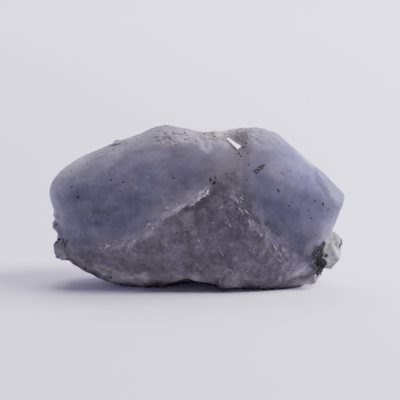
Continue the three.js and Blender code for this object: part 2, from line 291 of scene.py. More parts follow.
def egg(points, x, z, half_long, half_high, lean=0.0):
    """1 in the middle of a soft egg, and nothing beyond about 1.5 times its half sizes."""
    turn = math.radians(lean)
    from_x, from_z = points[:, 0] - x, points[:, 2] - z
    along = from_x * math.cos(turn) + from_z * math.sin(turn)
    across = from_z * math.cos(turn) - from_x * math.sin(turn)
    return np.exp(-np.hypot(along / half_long, across / half_high) ** 3)


def eggs(points, shapes):
    """Several soft eggs together."""
    return sum(egg(points, *shape) for shape in shapes)


# %% Kinds of surface
x, y, z = places.T
front = soft_step(-y, -1.5, 0.5)
over_ledge = above(DOME_LEDGE, places)
over_foot = above(FACE_FOOT, places)
over_back_ledge = above(BACK_LEDGE, places)
left_of_crease = soft_step(-x, -4.7, -4.0)
ragged = 0.5 * waves(places, 1.3, 200) + 0.25 * waves(places, 0.5, 210)

faint = soft_step(-x, 1.5, 4.5)  # the ledge fades out to the left of its crest
over_rim = over_ledge + (1 + faint) * ragged
dome = front * left_of_crease * soft_step(over_rim, -0.3 - 1.1 * faint, 0.5 + 0.5 * faint)
face = front * (1 - left_of_crease) * soft_step(over_foot + ragged, -1.4, 1.2)
cleavage = (1 - front) * soft_step(over_back_ledge, -0.15, 0.15)
ends = soft_step(np.abs(x) + 1.4 * ragged, 13.2, 15.6) * soft_step(z, 5.0, 6.5)
smooth_faces = np.maximum.reduce([dome, face, cleavage, ends])
broken = 1 - smooth_faces
print("smooth", round(float(smooth_faces.mean()), 2), "broken", round(float(broken.mean()), 2))

# %% [markdown]
# Some smaller places have a character of their own. The crown is the rough saddle between the two
# summits. A pale bevel cuts the right corner. A calcite grain and a seam of graphite sit low at
# the right end, rough lumps stick out at the left end, and crumbs gather on the crest of the
# ledge.

# %% Crown, bevel, calcite, graphite and crest
BEVEL_POINT = np.array([13.6, -3.3, 10.95])
BEVEL_TURN, BEVEL_TILT = math.radians(55), math.radians(29)
BEVEL_FACING = np.array(
    [
        math.sin(BEVEL_TURN) * math.cos(BEVEL_TILT),
        -math.cos(BEVEL_TURN) * math.cos(BEVEL_TILT),
        math.sin(BEVEL_TILT),
    ]
)
BEVEL_EDGE = [(12.2, 13.1), (13.0, 11.8), (13.7, 10.8), (14.1, 9.9), (15.0, 9.06), (15.6, 8.84)]
over_bevel = (places - BEVEL_POINT) @ BEVEL_FACING
at_bevel = np.exp(-((over_bevel / 0.9) ** 2)) * soft_step(x, 11.6, 12.4) * soft_step(z, 6.6, 7.6)
on_corner = soft_step(over_bevel, -0.24, -0.12) * soft_step(x, 12.0, 12.6) * soft_step(z, 7.0, 7.8)
on_bevel = on_corner * soft_step(above(BEVEL_EDGE, places), -0.03, 0.05)

knob = egg(places, 4.3, 16.2, 1.1, 0.9) * front
crown = soft_step(z, 14.9, 15.9) * soft_step(x, -5.0, -3.0) * soft_step(-x, -9.4, -7.0)
crown *= 1 - 0.75 * knob
left_slope = egg(places, -9.3, 14.6, 4.8, 1.1, 26) * soft_step(y, -4.4, -2.8)
CREST_CRUMBS = [  # middle in x and z, half sizes, lean, strength
    (-0.3, 9.75, 1.3, 0.28, 38, 1.0),
    (-2.3, 9.3, 1.0, 0.55, 38, 0.9),
    (-3.9, 8.0, 0.8, 0.4, 45, 0.5),
    (-5.0, 7.2, 1.0, 0.3, 38, 0.5),
    (-6.6, 5.8, 0.7, 0.4, 20, 0.6),
    (-8.6, 5.3, 1.1, 0.35, 28, 0.8),
    (-6.0, 4.9, 0.35, 0.5, -30, 0.5),
]
crest = sum(share * egg(places, *shape) for *shape, share in CREST_CRUMBS) * front
crest = np.clip(crest, 0, 1)
calcite = egg(places, 14.4, 3.5, 1.6, 2.1)
calcite *= soft_step(x + 0.3 * waves(places, 0.8, 220), 12.9, 13.3)
GRAPHITE_EGGS = [(12.98, 4.4, 0.9, 0.28, 70), (12.65, 3.9, 0.55, 0.8)]
GRAPHITE_EGGS += [(12.95, 2.6, 0.68, 0.8), (12.75, 1.75, 0.45, 0.35)]
graphite = np.maximum.reduce([egg(places, *shape) for shape in GRAPHITE_EGGS])
graphite *= front * soft_step(-y, 0.6, 1.6) * (0.9 + 0.45 * waves(places, 0.5, 215))
graphite = np.clip(graphite, 0, 1)
left_lumps = soft_step(-x, 13.2, 14.2) * egg(places, -14.8, 4.8, 1.8, 2.6)
print("on the bevel", int((on_bevel > 0.5).sum()), "points, in the crest", int((crest > 0.3).sum()))

# %% [markdown]
# ## Thin places
#
# Tanzanite lets light through. Where the stone is thin, at its edges and its top, more light
# comes out again. Further on, that light is painted into the colour as a paler glow. To know
# where it is thin, rays are sent into the stone from many points, and their lengths are
# compared. The result is one number for each point of the skin.

# %% How thin the stone is
THIN_LENGTH = 4.5  # a ray of this length inside counts for about a third
RAY_COUNT = 24
RAY_START = 0.05  # this far under the skin
GOLDEN_TURN = 2.39996  # turning by this much each time spreads the rays evenly


def thinness(point, normal):
    """Near 1 where every way through the stone is short, near 0 in its thick middle."""
    start = point - normal * RAY_START
    total = 0.0
    for i in range(RAY_COUNT):
        height = 1 - 2 * (i + 0.5) / RAY_COUNT
        turn = i * GOLDEN_TURN
        wide = math.sqrt(1 - height * height)
        way = Vector((wide * math.cos(turn), wide * math.sin(turn), height))
        if way.dot(normal) > 0:
            way.negate()
        hit = solid_tree.ray_cast(start, way)
        length = hit[3] if hit[0] is not None else 0.0
        total += math.exp(-length / THIN_LENGTH)
    return total / RAY_COUNT


spots = KDTree(len(block.data.vertices))
measured = []
for i, vertex in enumerate(block.data.vertices):
    spots.insert(vertex.co, i)
    measured.append(thinness(vertex.co, vertex.normal))
spots.balance()
thin = np.array([measured[spots.find(p)[1]] for p in places])
thin = evened(thin, 0.7, 40)[:, 0]
print("thinness from", round(float(thin.min()), 2), "to", round(float(thin.max()), 2))
bpy.data.objects.remove(block)

# %% [markdown]
# ## The shape of the breaks
#
# The dome and the faces are evened out until they are as smooth as the waxy skin of the real
# stone, and the broken rock only a little. Each round of evening moves the points in, and then a
# little further out, so that the stone doesn't shrink. The bevel and the calcite keep their crisp
# edges. The ledge is worn down on both sides of its crest, and so are the shoulders of the dome
# and of the right face. There the points are only moved in, until the faces run into each other
# with no edge between them.

# %% Even out the faces
GENTLE, FIRM = 0.25, 0.6
OUT_AGAIN = 1.04  # each round moves the points out by this much more than in
FACE_ROUNDS, WORN_ROUNDS, SHOULDER_ROUNDS = 22, 50, 110
firmness = GENTLE + (FIRM - GENTLE) * evened(smooth_faces, 0.5, 6)[:, 0]
firmness = firmness * (1 - 0.85 * at_bevel) * (1 - 0.95 * calcite)
for _ in range(FACE_ROUNDS):
    places = evened(places, firmness, 1)
    places = evened(places, -firmness * OUT_AGAIN, 1)

worn_down = np.exp(-((over_ledge / 0.9) ** 2)) * front
worn_down *= np.maximum(soft_step(-x, 1.2, 3.0), 0.9 * soft_step(x, 1.0, 2.0))
worn_down = np.maximum(worn_down, front * egg(places, -10.4, 0.9, 0.8, 0.7))
shoulders = np.maximum(soft_step(z, 9.5, 11.5), soft_step(-x, 12.0, 13.5) * soft_step(z, 6.5, 8.0))
shoulders *= np.maximum(dome, face) * (1 - 0.8 * crown) * (1 - at_bevel) * (1 - left_lumps)
shoulders = evened(shoulders, 0.5, 6)[:, 0]
places = evened(places, FIRM * np.maximum(worn_down, shoulders), WORN_ROUNDS)
places = evened(places, FIRM * shoulders, SHOULDER_ROUNDS)
facing = outward(evened(places, 0.5, 12))
print("evened out, with", int((worn_down > 0.3).sum()), "points on the worn ledge")

# %% [markdown]
# Then the relief goes on. The broken rock is chipped at three scales, the finest of them drawn
# out along the grain. The crown and the crest get crumbs. The smooth faces keep only slow swells,
# as light sliding over them would show anything more.

# %% Relief
lumpy = np.clip(soft_step(-z, -3.0, -1.2) + egg(places, -13.0, 3.6, 2.2, 1.6, -30), 0, 1)
chips = (0.12 + 0.10 * lumpy) * shells(places, 2.2, 20) + 0.07 * steps(places, 1.1, 40)
splinters = 0.055 * steps(along_grain(places, 3), 0.5, 60)
splinters += 0.05 * steps(along_grain(places, 2.4), 0.25, 70)
crumbs = 0.24 * steps(places, 0.62, 80) + 0.10 * steps(places, 0.3, 90)
swells = 0.05 * waves(places, 2.6, 100) + 0.016 * waves(places, 0.9, 120)

rock_top = egg(places, 3.4, 11.4, 1.8, 1.4) * front
relief = broken * (1 - calcite) * (1 - 0.6 * rock_top) * (chips + splinters)
relief += smooth_faces * (1 - at_bevel) * swells
relief += np.clip(0.6 * crown + 0.25 * left_slope + 0.6 * crest, 0, 1) * crumbs
relief += calcite * (0.16 * steps(places, 1.6, 143) + 0.02 * steps(places, 0.5, 140))
relief += left_lumps * (0.30 * steps(places, 0.9, 145) + 0.12 * steps(places, 0.4, 147))
relief += graphite * 0.22 * steps(places, 0.45, 160)

# %% Lumps and hollows of their own
FOOT_LUMPS = [(-6.2, 1.2, 1.8, 0.8), (-10.0, 2.2, 2.2, 0.7, -25), (3.9, 1.6, 1.8, 0.9)]
LEFT_NUBS = [(-15.0, 7.5, 0.5, 0.35), (-14.95, 6.1, 0.5, 0.35)]
RIGHT_HOLLOWS = [  # depth, then the egg
    (0.22, 14.5, 2.2, 1.1, 0.8, 45), (0.18, 14.1, 2.0, 0.5, 0.4), (0.3, 13.4, 1.4, 0.7, 0.7),
]
foot_lumps = eggs(places, FOOT_LUMPS) * front
relief += foot_lumps * (0.24 * steps(places, 0.9, 171) + 0.11 * steps(places, 0.4, 173))
relief += front * 0.25 * eggs(places, LEFT_NUBS)
relief += 0.25 * egg(places, -13.6, 3.3, 0.6, 0.4, -35)
relief -= sum(depth * egg(places, *shape) for depth, *shape in RIGHT_HOLLOWS)
print("in the foot's lumps", int((foot_lumps > 0.3).sum()), "points")
under_crest = egg(places, 0.4, 9.4, 0.9, 0.32, 42) * front
relief -= 0.16 * under_crest * soft_step(-over_ledge, 0.0, 0.3)

# %% Put the relief on
RESTING_HEIGHT = 0.03  # the stone stands on what lies below this
BOX_MARGIN = 0.01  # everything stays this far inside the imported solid's box
resting = z < RESTING_HEIGHT
relief[resting] = 0
shaped = places + facing * relief[:, None]
shaped = np.clip(shaped, LOW + BOX_MARGIN, HIGH - BOX_MARGIN)
shaped[resting, 2] = 0
shaped[:, 2] = np.maximum(shaped[:, 2], 0)
normal = outward(shaped)
soft = evened(shaped, 0.5, 5)
edge = ((shaped - soft) * normal).sum(axis=1)
print("relief from", round(float(relief.min()), 2), "to", round(float(relief.max()), 2), "mm")

# %% [markdown]
# ## Where each colour lies
#
# The colour isn't painted as a picture. It starts as one tint for the smooth faces and one for
# the broken rock. Then soft eggs of other tints are laid over them, one after the other. Most are
# clouds of colour, as they lie inside the real crystal; a few are painted glow and painted shade.
# Their outlines are made to drift, because clouds aren't eggs.

# %% Tints
VIOLET = (0.128, 0.120, 0.158)
DEEP = (0.082, 0.0805, 0.103)
INK = (0.023, 0.0212, 0.034)
BLUE = (0.080, 0.082, 0.132)
DUSK = (0.052, 0.046, 0.070)
LILAC = (0.108, 0.098, 0.200)
HAZE = (0.132, 0.123, 0.165)
MIST = (0.140, 0.128, 0.176)
BEVEL_TINT = (0.074, 0.063, 0.126)
# painted shade for the bevel's rounded rim, where the lamps shine on it
BEVEL_RIM_SHADE = (0.056, 0.051, 0.088)
PALE = (0.258, 0.250, 0.288)
ROCK = (0.074, 0.0675, 0.074)
SHADE = (0.044, 0.040, 0.047)
STONE_GREY = (0.135, 0.132, 0.124)
CREAM = (0.34, 0.325, 0.29)
BROWN = (0.11, 0.09, 0.078)

# %% Clouds of the smooth front: middle in x and z, half sizes, lean, tint, strength
FRONT_CLOUDS = [
    (9.5, 10.5, 6.0, 5.0, -35, (0.106, 0.095, 0.146), 0.85),
    (-6.0, 15.4, 8.0, 1.5, 8, (0.096, 0.086, 0.121), 0.85),
    (-1.7, 14.6, 2.8, 1.1, 0, (0.034, 0.030, 0.045), 0.85),
    # the pale upper-left rim: partly the stone's own pale colour, partly painted glow of light
    # through the thin edge
    (-13.4, 12.6, 2.6, 1.5, 42, PALE, 0.9),
    (-10.2, 13.1, 3.0, 0.9, 28, (0.215, 0.206, 0.250), 0.8),
    (-13.6, 11.1, 1.8, 0.9, 35, (0.215, 0.206, 0.258), 0.85),
    (-15.3, 9.8, 0.9, 2.2, 0, HAZE, 0.7),
    (-13.9, 5.6, 0.6, 1.1, 0, (0.044, 0.043, 0.050), 0.8),
    (-8.4, 8.7, 5.4, 2.1, 4, DEEP, 0.9),
    (-4.8, 12.2, 1.3, 1.0, 60, BLUE, 0.5),
    (-11.0, 7.4, 2.6, 0.8, -4, BLUE, 0.3),
    (-12.6, 10.2, 1.6, 0.9, 20, BLUE, 0.2),
    (-10.3, 8.5, 1.5, 0.35, 0, SHADE, 0.4),
    (-8.8, 9.1, 1.4, 0.35, 8, SHADE, 0.35),
    (-10.4, 7.3, 1.2, 0.3, -4, SHADE, 0.4),
    (-7.0, 10.4, 1.4, 0.5, 15, SHADE, 0.25),
    (-0.4, 12.9, 3.1, 1.9, 25, DUSK, 1.0),
    (-2.6, 13.6, 1.8, 0.9, 10, DUSK, 0.5),
    (1.6, 12.3, 1.6, 1.1, 40, (0.034, 0.030, 0.042), 0.85),
    (-10.0, 11.4, 0.5, 0.3, 10, HAZE, 0.5),
    (-2.7, 10.0, 1.5, 2.6, 10, (0.138, 0.132, 0.150), 0.6),
    (-3.8, 8.7, 2.6, 0.9, 40, STONE_GREY, 0.5),
    (-1.2, 10.2, 1.6, 0.7, 38, (0.146, 0.140, 0.152), 0.8),
    # painted shade: these three darken the ledge's rounded lip, where it would catch the lamps and
    # the floor's light
    (-7.5, 6.3, 3.0, 0.7, 25, DUSK, 0.5),
    (-4.6, 7.7, 2.2, 0.4, 42, (0.080, 0.075, 0.082), 0.5),
    (-11.2, 5.2, 3.2, 0.7, 0, DEEP, 0.8),
    # paler at the top of the right face: partly the stone's lilac, partly painted glow of light
    # entering there
    (7.8, 15.4, 3.2, 1.1, -10, (0.158, 0.143, 0.194), 0.85),
    (6.2, 12.8, 1.9, 1.9, -10, (0.064, 0.056, 0.084), 0.8),
    (11.2, 12.6, 4.2, 1.4, -38, LILAC, 0.95),
    (12.8, 10.2, 2.0, 1.2, -45, (0.112, 0.102, 0.168), 0.7),
    (8.2, 8.6, 4.2, 3.0, -25, INK, 0.9),
    (8.0, 10.8, 3.0, 1.2, -20, (0.050, 0.045, 0.072), 0.6),
    (8.4, 8.6, 2.0, 1.4, -20, (0.050, 0.048, 0.098), 0.3),
    (12.2, 9.0, 2.6, 1.5, -40, (0.058, 0.053, 0.082), 0.8),
    (14.2, 7.0, 0.9, 1.6, 20, LILAC, 0.25),
    # painted shade below the bevel, on the edge that faces the right lamp
    (15.0, 7.6, 0.9, 1.5, -15, (0.056, 0.049, 0.090), 0.85),
    (12.4, 5.8, 1.6, 1.4, -10, (0.044, 0.039, 0.054), 0.7),
    (10.6, 5.3, 1.7, 1.4, -10, INK, 0.9),
]
print("clouds of the smooth front:", len(FRONT_CLOUDS))

# %% Clouds of the broken rock
ROCK_CLOUDS = [
    (-7.5, 3.8, 4.0, 2.2, -8, (0.099, 0.093, 0.095), 0.8),
    (3.9, 1.7, 1.9, 1.1, 0, STONE_GREY, 0.85),
    # the pale foot: partly pale matrix, partly painted light that lifts the foot out of the shade
    # beneath the stone
    (-9.4, 1.9, 2.8, 1.0, -14, (0.270, 0.265, 0.246), 0.85),
    (-6.2, 1.0, 1.7, 0.9, 0, (0.39, 0.38, 0.352), 0.9),
    (-8.2, 0.8, 1.2, 0.6, 0, (0.42, 0.40, 0.36), 0.8),
    (-2.4, 1.4, 2.6, 1.0, 0, (0.165, 0.158, 0.155), 0.75),
    (-1.5, 0.9, 1.5, 0.7, 0, (0.25, 0.24, 0.235), 0.8),
    (-14.5, 4.2, 1.1, 1.0, -20, (0.185, 0.184, 0.166), 0.9),
    (-15.3, 6.8, 0.6, 0.8, 0, (0.240, 0.234, 0.236), 0.9),
    (-12.9, 3.9, 1.1, 0.8, -30, (0.098, 0.096, 0.092), 0.7),
    (-12.7, 3.3, 1.0, 0.5, -25, STONE_GREY, 0.8),
    (-10.9, 4.1, 1.3, 0.5, -15, SHADE, 0.5),
    (-9.4, 3.3, 1.0, 0.5, -15, HAZE, 0.7),
    (10.8, 2.4, 1.2, 0.6, 20, (0.225, 0.221, 0.236), 0.85),
    (11.6, 0.9, 1.9, 0.6, 20, (0.250, 0.246, 0.220), 0.85),
    (7.7, 6.1, 0.8, 0.5, -40, HAZE, 0.8),
    (10.6, 3.4, 1.0, 0.6, 20, MIST, 0.3),
    (5.4, 3.4, 1.3, 0.6, -45, HAZE, 0.5),
    (4.4, 4.4, 1.2, 1.3, 0, (0.098, 0.091, 0.098), 0.5),
    (-2.0, 4.6, 1.0, 0.6, 30, HAZE, 0.4),
    (1.6, 6.4, 0.9, 0.5, -45, HAZE, 0.2),
    (3.0, 7.2, 1.7, 1.4, -30, SHADE, 0.45),
    (-2.0, 8.0, 2.2, 1.1, 40, (0.112, 0.105, 0.111), 0.75),
    (-5.0, 5.5, 2.0, 0.8, 30, (0.105, 0.099, 0.103), 0.6),
    (-8.0, 5.4, 1.8, 0.5, 20, (0.138, 0.132, 0.134), 0.4),
    (1.5, 10.2, 1.1, 0.9, 40, (0.096, 0.088, 0.096), 0.9),
    # painted shade in the pocket under the crest
    (0.1, 9.4, 0.7, 0.28, 42, SHADE, 0.7),
    (4.0, 9.4, 2.0, 1.4, 50, SHADE, 0.35),
    (12.0, 3.4, 0.7, 0.9, 0, SHADE, 0.6),
    (10.7, 4.3, 1.0, 0.7, -20, INK, 0.8),
    (6.0, 5.4, 1.6, 0.9, -40, (0.072, 0.066, 0.073), 0.5),
]
print("clouds of the broken rock:", len(ROCK_CLOUDS))

# %% Small clouds of the front, laid last
SMALL_CLOUDS = [
    (0.6, 16.3, 3.4, 0.8, 0, (0.122, 0.109, 0.138), 0.85),
    (-0.9, 16.0, 1.2, 0.7, 0, PALE, 0.35),
    (0.6, 15.3, 1.0, 0.22, -58, PALE, 0.6),
    (1.5, 15.3, 0.6, 0.18, 62, PALE, 0.5),
    (2.4, 16.3, 0.9, 0.35, 0, CREAM, 0.9),
    (2.0, 15.95, 0.6, 0.22, -10, BROWN, 0.9),
    (3.0, 15.45, 0.55, 0.4, -45, (0.32, 0.30, 0.36), 0.8),
    (3.9, 16.2, 0.6, 0.8, 0, (0.150, 0.139, 0.134), 0.9),
    (4.6, 16.1, 0.5, 0.6, 0, (0.032, 0.029, 0.028), 0.9),
    (5.0, 16.1, 0.8, 0.9, 0, (0.030, 0.027, 0.026), 0.95),
    (4.4, 17.0, 0.9, 0.22, 0, STONE_GREY, 0.5),
    (5.0, 15.0, 0.9, 1.0, 0, (0.062, 0.053, 0.056), 0.8),
    (4.7, 13.0, 0.8, 2.4, 0, (0.048, 0.042, 0.055), 0.8),
    (3.4, 13.3, 1.1, 1.6, 0, (0.054, 0.049, 0.053), 0.8),
    (4.2, 11.1, 1.1, 1.2, 0, (0.024, 0.021, 0.027), 0.85),
    (2.7, 11.9, 1.5, 0.9, 20, (0.026, 0.0225, 0.0285), 0.85),
    (5.4, 9.0, 1.1, 2.0, 25, (0.026, 0.0235, 0.035), 0.75),
    (4.9, 9.2, 1.1, 1.3, 0, (0.028, 0.025, 0.031), 0.7),
    (6.4, 6.4, 0.8, 0.7, 0, (0.028, 0.025, 0.031), 0.5),
    (11.9, 13.4, 1.7, 0.25, -42, (0.30, 0.28, 0.40), 0.6),
    (7.8, 7.0, 2.2, 0.9, -30, (0.023, 0.021, 0.033), 0.7),
    (-3.4, 15.3, 0.6, 0.4, 0, BROWN, 0.5),
    (-0.4, 14.9, 0.8, 0.6, 0, (0.060, 0.053, 0.070), 0.5),
    (-2.3, 9.0, 0.8, 0.4, 40, (0.230, 0.218, 0.240), 0.75),
    (-3.2, 8.5, 0.4, 0.3, 20, (0.200, 0.190, 0.208), 0.7),
    (-0.85, 9.4, 0.3, 0.2, 30, (0.066, 0.060, 0.066), 0.8),
    (-1.3, 9.6, 0.3, 0.3, 40, (0.220, 0.210, 0.230), 0.5),
    (0.6, 10.9, 0.25, 0.2, 40, (0.300, 0.290, 0.320), 0.6),
    (-8.1, 5.15, 0.8, 0.22, 30, (0.230, 0.222, 0.240), 0.8),
    (-4.9, 6.5, 0.6, 0.28, 45, (0.200, 0.192, 0.206), 0.65),
    (-6.7, 5.3, 0.28, 0.4, -40, (0.220, 0.210, 0.226), 0.7),
    (3.0, 5.0, 0.8, 1.2, 0, (0.050, 0.045, 0.050), 0.4),
    (-11.2, 2.8, 0.6, 0.6, 0, (0.040, 0.037, 0.041), 0.6),
    (-11.0, 1.5, 0.7, 0.5, 0, (0.060, 0.057, 0.060), 0.6),
    (11.8, 3.7, 0.7, 0.8, 0, (0.028, 0.025, 0.031), 0.85),
    (12.45, 4.55, 0.5, 0.6, 0, (0.030, 0.027, 0.030), 0.9),
    (-2.5, 8.3, 0.45, 0.25, 0, BROWN, 0.4),
    (-10.1, 3.3, 0.4, 0.25, 0, BROWN, 0.4),
]
print("small clouds:", len(SMALL_CLOUDS))

# %% Clouds of the back
BACK_CLOUDS = [
    (3.0, 10.0, 5.5, 3.0, -12, DEEP, 0.8),
    (-7.0, 12.6, 4.0, 2.0, 18, HAZE, 0.6),
    (10.0, 12.6, 3.6, 1.6, -38, LILAC, 0.8),
    (-3.0, 11.6, 2.2, 1.4, 10, BLUE, 0.4),
    (5.2, 13.0, 1.8, 1.3, 15, STONE_GREY, 0.7),
    (-6.2, 2.6, 2.6, 1.4, 0, STONE_GREY, 0.6),
    (1.4, 2.4, 1.6, 1.0, 0, STONE_GREY, 0.5),
    (0.0, 15.8, 5.0, 1.2, 0, MIST, 0.6),
    (12.0, 6.0, 2.5, 2.2, 0, DUSK, 0.5),
    (-12.5, 7.0, 2.0, 2.5, 0, DUSK, 0.4),
]
print("clouds of the back:", len(BACK_CLOUDS))

# %% Lay the tints
drift = np.stack([waves(shaped, 1.6, salt) for salt in (230, 240, 250)], axis=1)
drift += 0.5 * np.stack([waves(shaped, 0.6, salt) for salt in (260, 270, 280)], axis=1)


def laid_over(tint, clouds, side, wander=0.45):
    """Lays soft eggs of other tints over one side. Their outlines wander by this much."""
    for *shape, colour, strength in clouds:
        share = strength * side * egg(shaped + wander * drift, *shape)
        tint = tint + share[:, None] * (np.array(colour) - tint)
    return tint


tint = np.array(VIOLET) + broken[:, None] * (np.array(ROCK) - np.array(VIOLET))
tint = laid_over(tint, FRONT_CLOUDS, front * (1 - 0.8 * broken))
tint = laid_over(tint, ROCK_CLOUDS, front)
tint = laid_over(tint, BACK_CLOUDS, 1 - front)
tint = laid_over(tint, SMALL_CLOUDS, front, 0.2)
# painted glow: a paler tint where the stone is thin, for the light that shines through it
painted_glow = np.clip(0.9 * (thin - 0.40), 0, 0.25)
# painted shade: a darker tint on the bevel's rounded rim, over the lamps' shine there
overlays = ((painted_glow, MIST), (0.9 * on_bevel, BEVEL_TINT), (0.9 * (on_corner - on_bevel), BEVEL_RIM_SHADE))
for share, colour in overlays:
    tint = tint + share[:, None] * (np.array(colour) - tint)
frost = np.clip(0.8 * crown + 0.6 * left_slope + 1.1 * crest, 0, 1) * (1 - knob)
print("tint from", np.round(tint.min(axis=0), 3), "to", np.round(tint.max(axis=0), 3))

# %% [markdown]
# ## The crystal itself
#
# The tint and a few numbers are kept in the mesh as attributes, which a material can read by
# name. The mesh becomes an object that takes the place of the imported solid, and rides with it.


# %% Make the crystal
def keep(mesh, name, values):
    """Stores one number for each point of a mesh, where a material can read it."""
    kept = mesh.attributes.new(name, "FLOAT", "POINT")
    kept.data.foreach_set("value", np.asarray(values, np.float32))


def keep_colour(mesh, name, colours):
    """Stores one colour for each point of a mesh."""
    kept = mesh.attributes.new(name, "FLOAT_COLOR", "POINT")
    with_alpha = np.column_stack([colours, np.ones(len(colours))])
    kept.data.foreach_set("color", with_alpha.astype(np.float32).ravel())


def join_stone(mesh, name):
    """Makes an object of a mesh in millimetres, and lets it ride with the stone."""
    mesh.transform(Matrix.Scale(MM, 4))
    piece = new_object(name, mesh)
    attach(piece, "root")
    return piece


keep_colour(skin, "tint", tint)
keep(skin, "broken", evened(broken, 0.5, 3)[:, 0])
keep(skin, "frost", frost)
under_bevel = 0.8 * egg(places, 15.2, 7.3, 0.9, 1.5) * front
keep(skin, "dull_rim", np.maximum(on_corner - on_bevel, under_bevel))
keep(skin, "edge", edge)
keep(skin, "calcite", np.clip(calcite * 1.3, 0, 1))
keep(skin, "graphite", np.clip(graphite * 1.3, 0, 1))
skin.polygons.foreach_set("use_smooth", np.ones(len(skin.polygons), bool))
skin_tree = BVHTree.FromPolygons(shaped.tolist(), [tuple(p.vertices) for p in skin.polygons])
crystal = join_stone(skin, "zoisite_crystal")
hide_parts("stone")
print("crystal:", len(skin.polygons), "faces of four corners")

# %% [markdown]
# ## Loose grains
#
# Crumbs, specks, scales and splinters are too sharp for the skin, so they are small stones of
# their own. Each starts as a ball of twenty triangles. Its corners are pushed about, it is
# squashed, and it is planted in the skin so that a good part of it is buried.

# %% A ball of twenty triangles
FROST_SEED, SPECK_SEED, SCALE_SEED, CALCITE_SEED, SPLINTER_SEED = 11, 12, 13, 14, 15
FROST_COUNT, SCALE_COUNT, CALCITE_COUNT, SPLINTER_COUNT = 620, 420, 60, 150
ball = bmesh.new()
bmesh.ops.create_icosphere(ball, subdivisions=1, radius=1)
BALL_CORNERS = np.array([v.co for v in ball.verts])
BALL_FACES = np.array([[v.index for v in face.verts] for face in ball.faces])
ball.free()


def planted(name, seats, dice, uneven=0.25):
    """A piece of many small stones. A seat is a place, the ways out and along, sizes, a tone."""
    corners, faces, tones = [], [], []
    for i, (place, out, along, sizes, tone) in enumerate(seats):
        out = Vector(out).normalized()
        side = out.cross(Vector(along)).normalized()
        axes = np.array([side.cross(out), side, out])
        stone = BALL_CORNERS * dice.uniform(1 - uneven, 1 + uneven, BALL_CORNERS.shape) * sizes
        corners.append(stone @ axes + np.array(place))
        faces.append(BALL_FACES + i * len(BALL_CORNERS))
        tones.append(np.full(len(BALL_CORNERS), tone))
    corners = np.clip(np.concatenate(corners), LOW + BOX_MARGIN, HIGH - BOX_MARGIN)
    mesh = bpy.data.meshes.new(name)
    mesh.from_pydata(corners.tolist(), [], np.concatenate(faces).tolist())
    keep(mesh, "tone", np.concatenate(tones))
    print(name, "has", len(seats), "stones")
    return join_stone(mesh, name)


WELL_IN_FRONT = -30


def on_front(x, z):
    """The place on the skin seen from straight in front at this x and z, and the way out."""
    hit = skin_tree.ray_cast(Vector((x, WELL_IN_FRONT, z)), Vector((0, 1, 0)))
    return np.array(hit[0]), np.array(hit[1])


def seen_at(across, down):
    """The place on the skin that the camera sees at this dot, and the way out there."""
    wide = lens.sensor_width / lens.lens
    right = (across / PICTURE_SIDE - 0.5 + lens.shift_x) * wide
    way = Vector((right, (0.5 - down / PICTURE_SIDE) * wide, -1))
    eye = AIM + towards_camera * CAMERA_DISTANCE
    hit = skin_tree.ray_cast(eye, (camera.rotation_quaternion @ way).normalized())
    return np.array(hit[0]), np.array(hit[1])


def sown(density, count, dice):
    """Picks points of the skin at random, more of them where the density is high."""
    return dice.choice(len(density), size=count, p=density / density.sum())


def mostly_small(dice, least, more, power):
    """A random size from least to least + more. The higher the power, the rarer are large ones."""
    return least + more * dice.random() ** power


# %% [markdown]
# Frost crumbs lie on the crown, along the left slope and on the crest. They are what is left
# where the crystal was bruised. Most are tiny, and a few are larger.

# %% Frost crumbs
dice = np.random.default_rng(FROST_SEED)
crumb_places = np.clip(crown * (0.4 + 0.6 * waves(shaped, 1.0, 300)), 0, 1) + 0.35 * left_slope
crumb_places += 2.2 * crest * np.clip(0.5 + waves(shaped, 0.5, 305), 0, 1)
crumb_places *= soft_step(z, 4.0, 4.6)
seats = []
for i in sown(crumb_places, FROST_COUNT, dice):
    size = mostly_small(dice, 0.045, 0.12, 3)
    lie = normal[i] + 0.6 * dice.normal(size=3)
    tone = (0.6 - 0.1 * crest[i]) * dice.random() ** 2
    along = dice.normal(size=3) + 3 * crest[i] * np.array((0.8, 0, 0.6))
    sizes = (size * (1.5 + crest[i]), size * (1 - 0.4 * crest[i]), size * 0.6)
    seats.append((shaped[i] - normal[i] * size * 0.3, lie, along, sizes, tone))
print("frost crumbs sown:", len(seats))

# %% Bright crumbs of the rim, and of the broken patch to its left
RIM_CRUMBS, PATCH_CRUMBS = 34, 26
CRUMB_THICK = 0.06
rim_x = np.linspace(-0.5, 1.15, RIM_CRUMBS)
rim_z = np.interp(np.linspace(0, 1, RIM_CRUMBS), [0, 0.25, 0.6, 1], [9.6, 9.95, 10.25, 10.8])
for x_rim, z_rim in zip(rim_x, rim_z):
    place, out = on_front(x_rim + 0.08 * dice.normal(), z_rim + 0.10 * dice.normal())
    long = mostly_small(dice, 0.05, 0.16, 1.5)
    sizes = (long, long * 0.5, CRUMB_THICK)
    lie = out + 0.4 * dice.normal(size=3)
    seats.append((place, lie, (0.75, 0, 0.6), sizes, 0.6 + 0.6 * dice.random()))
for _ in range(PATCH_CRUMBS):
    share = dice.random()
    x_patch = -2.45 + 1.1 * share + 0.05 * dice.normal()
    z_patch = 8.92 + 0.3 * share + 0.09 * dice.normal() + 0.35 * dice.random() ** 3
    place, out = on_front(x_patch, z_patch)
    long = mostly_small(dice, 0.05, 0.11, 1.5)
    sizes = (long, long * 0.55, CRUMB_THICK)
    lie = out + 0.4 * dice.normal(size=3)
    seats.append((place, lie, (0.9, 0, 0.3), sizes, 0.3 + 0.6 * dice.random()))
frost_crumbs = planted("frost_crumbs", seats, dice, 0.4)

# %% [markdown]
# The specks are flakes of graphite that grew in the zoisite. Where a speck lies can be given as a
# place on the stone, which is hard to judge, or as a dot of the camera's picture, which is easy.
# So each is named by how far across and down the picture it is seen. A ray from the camera
# through that dot finds the skin behind it, and so every speck lies in the surface.

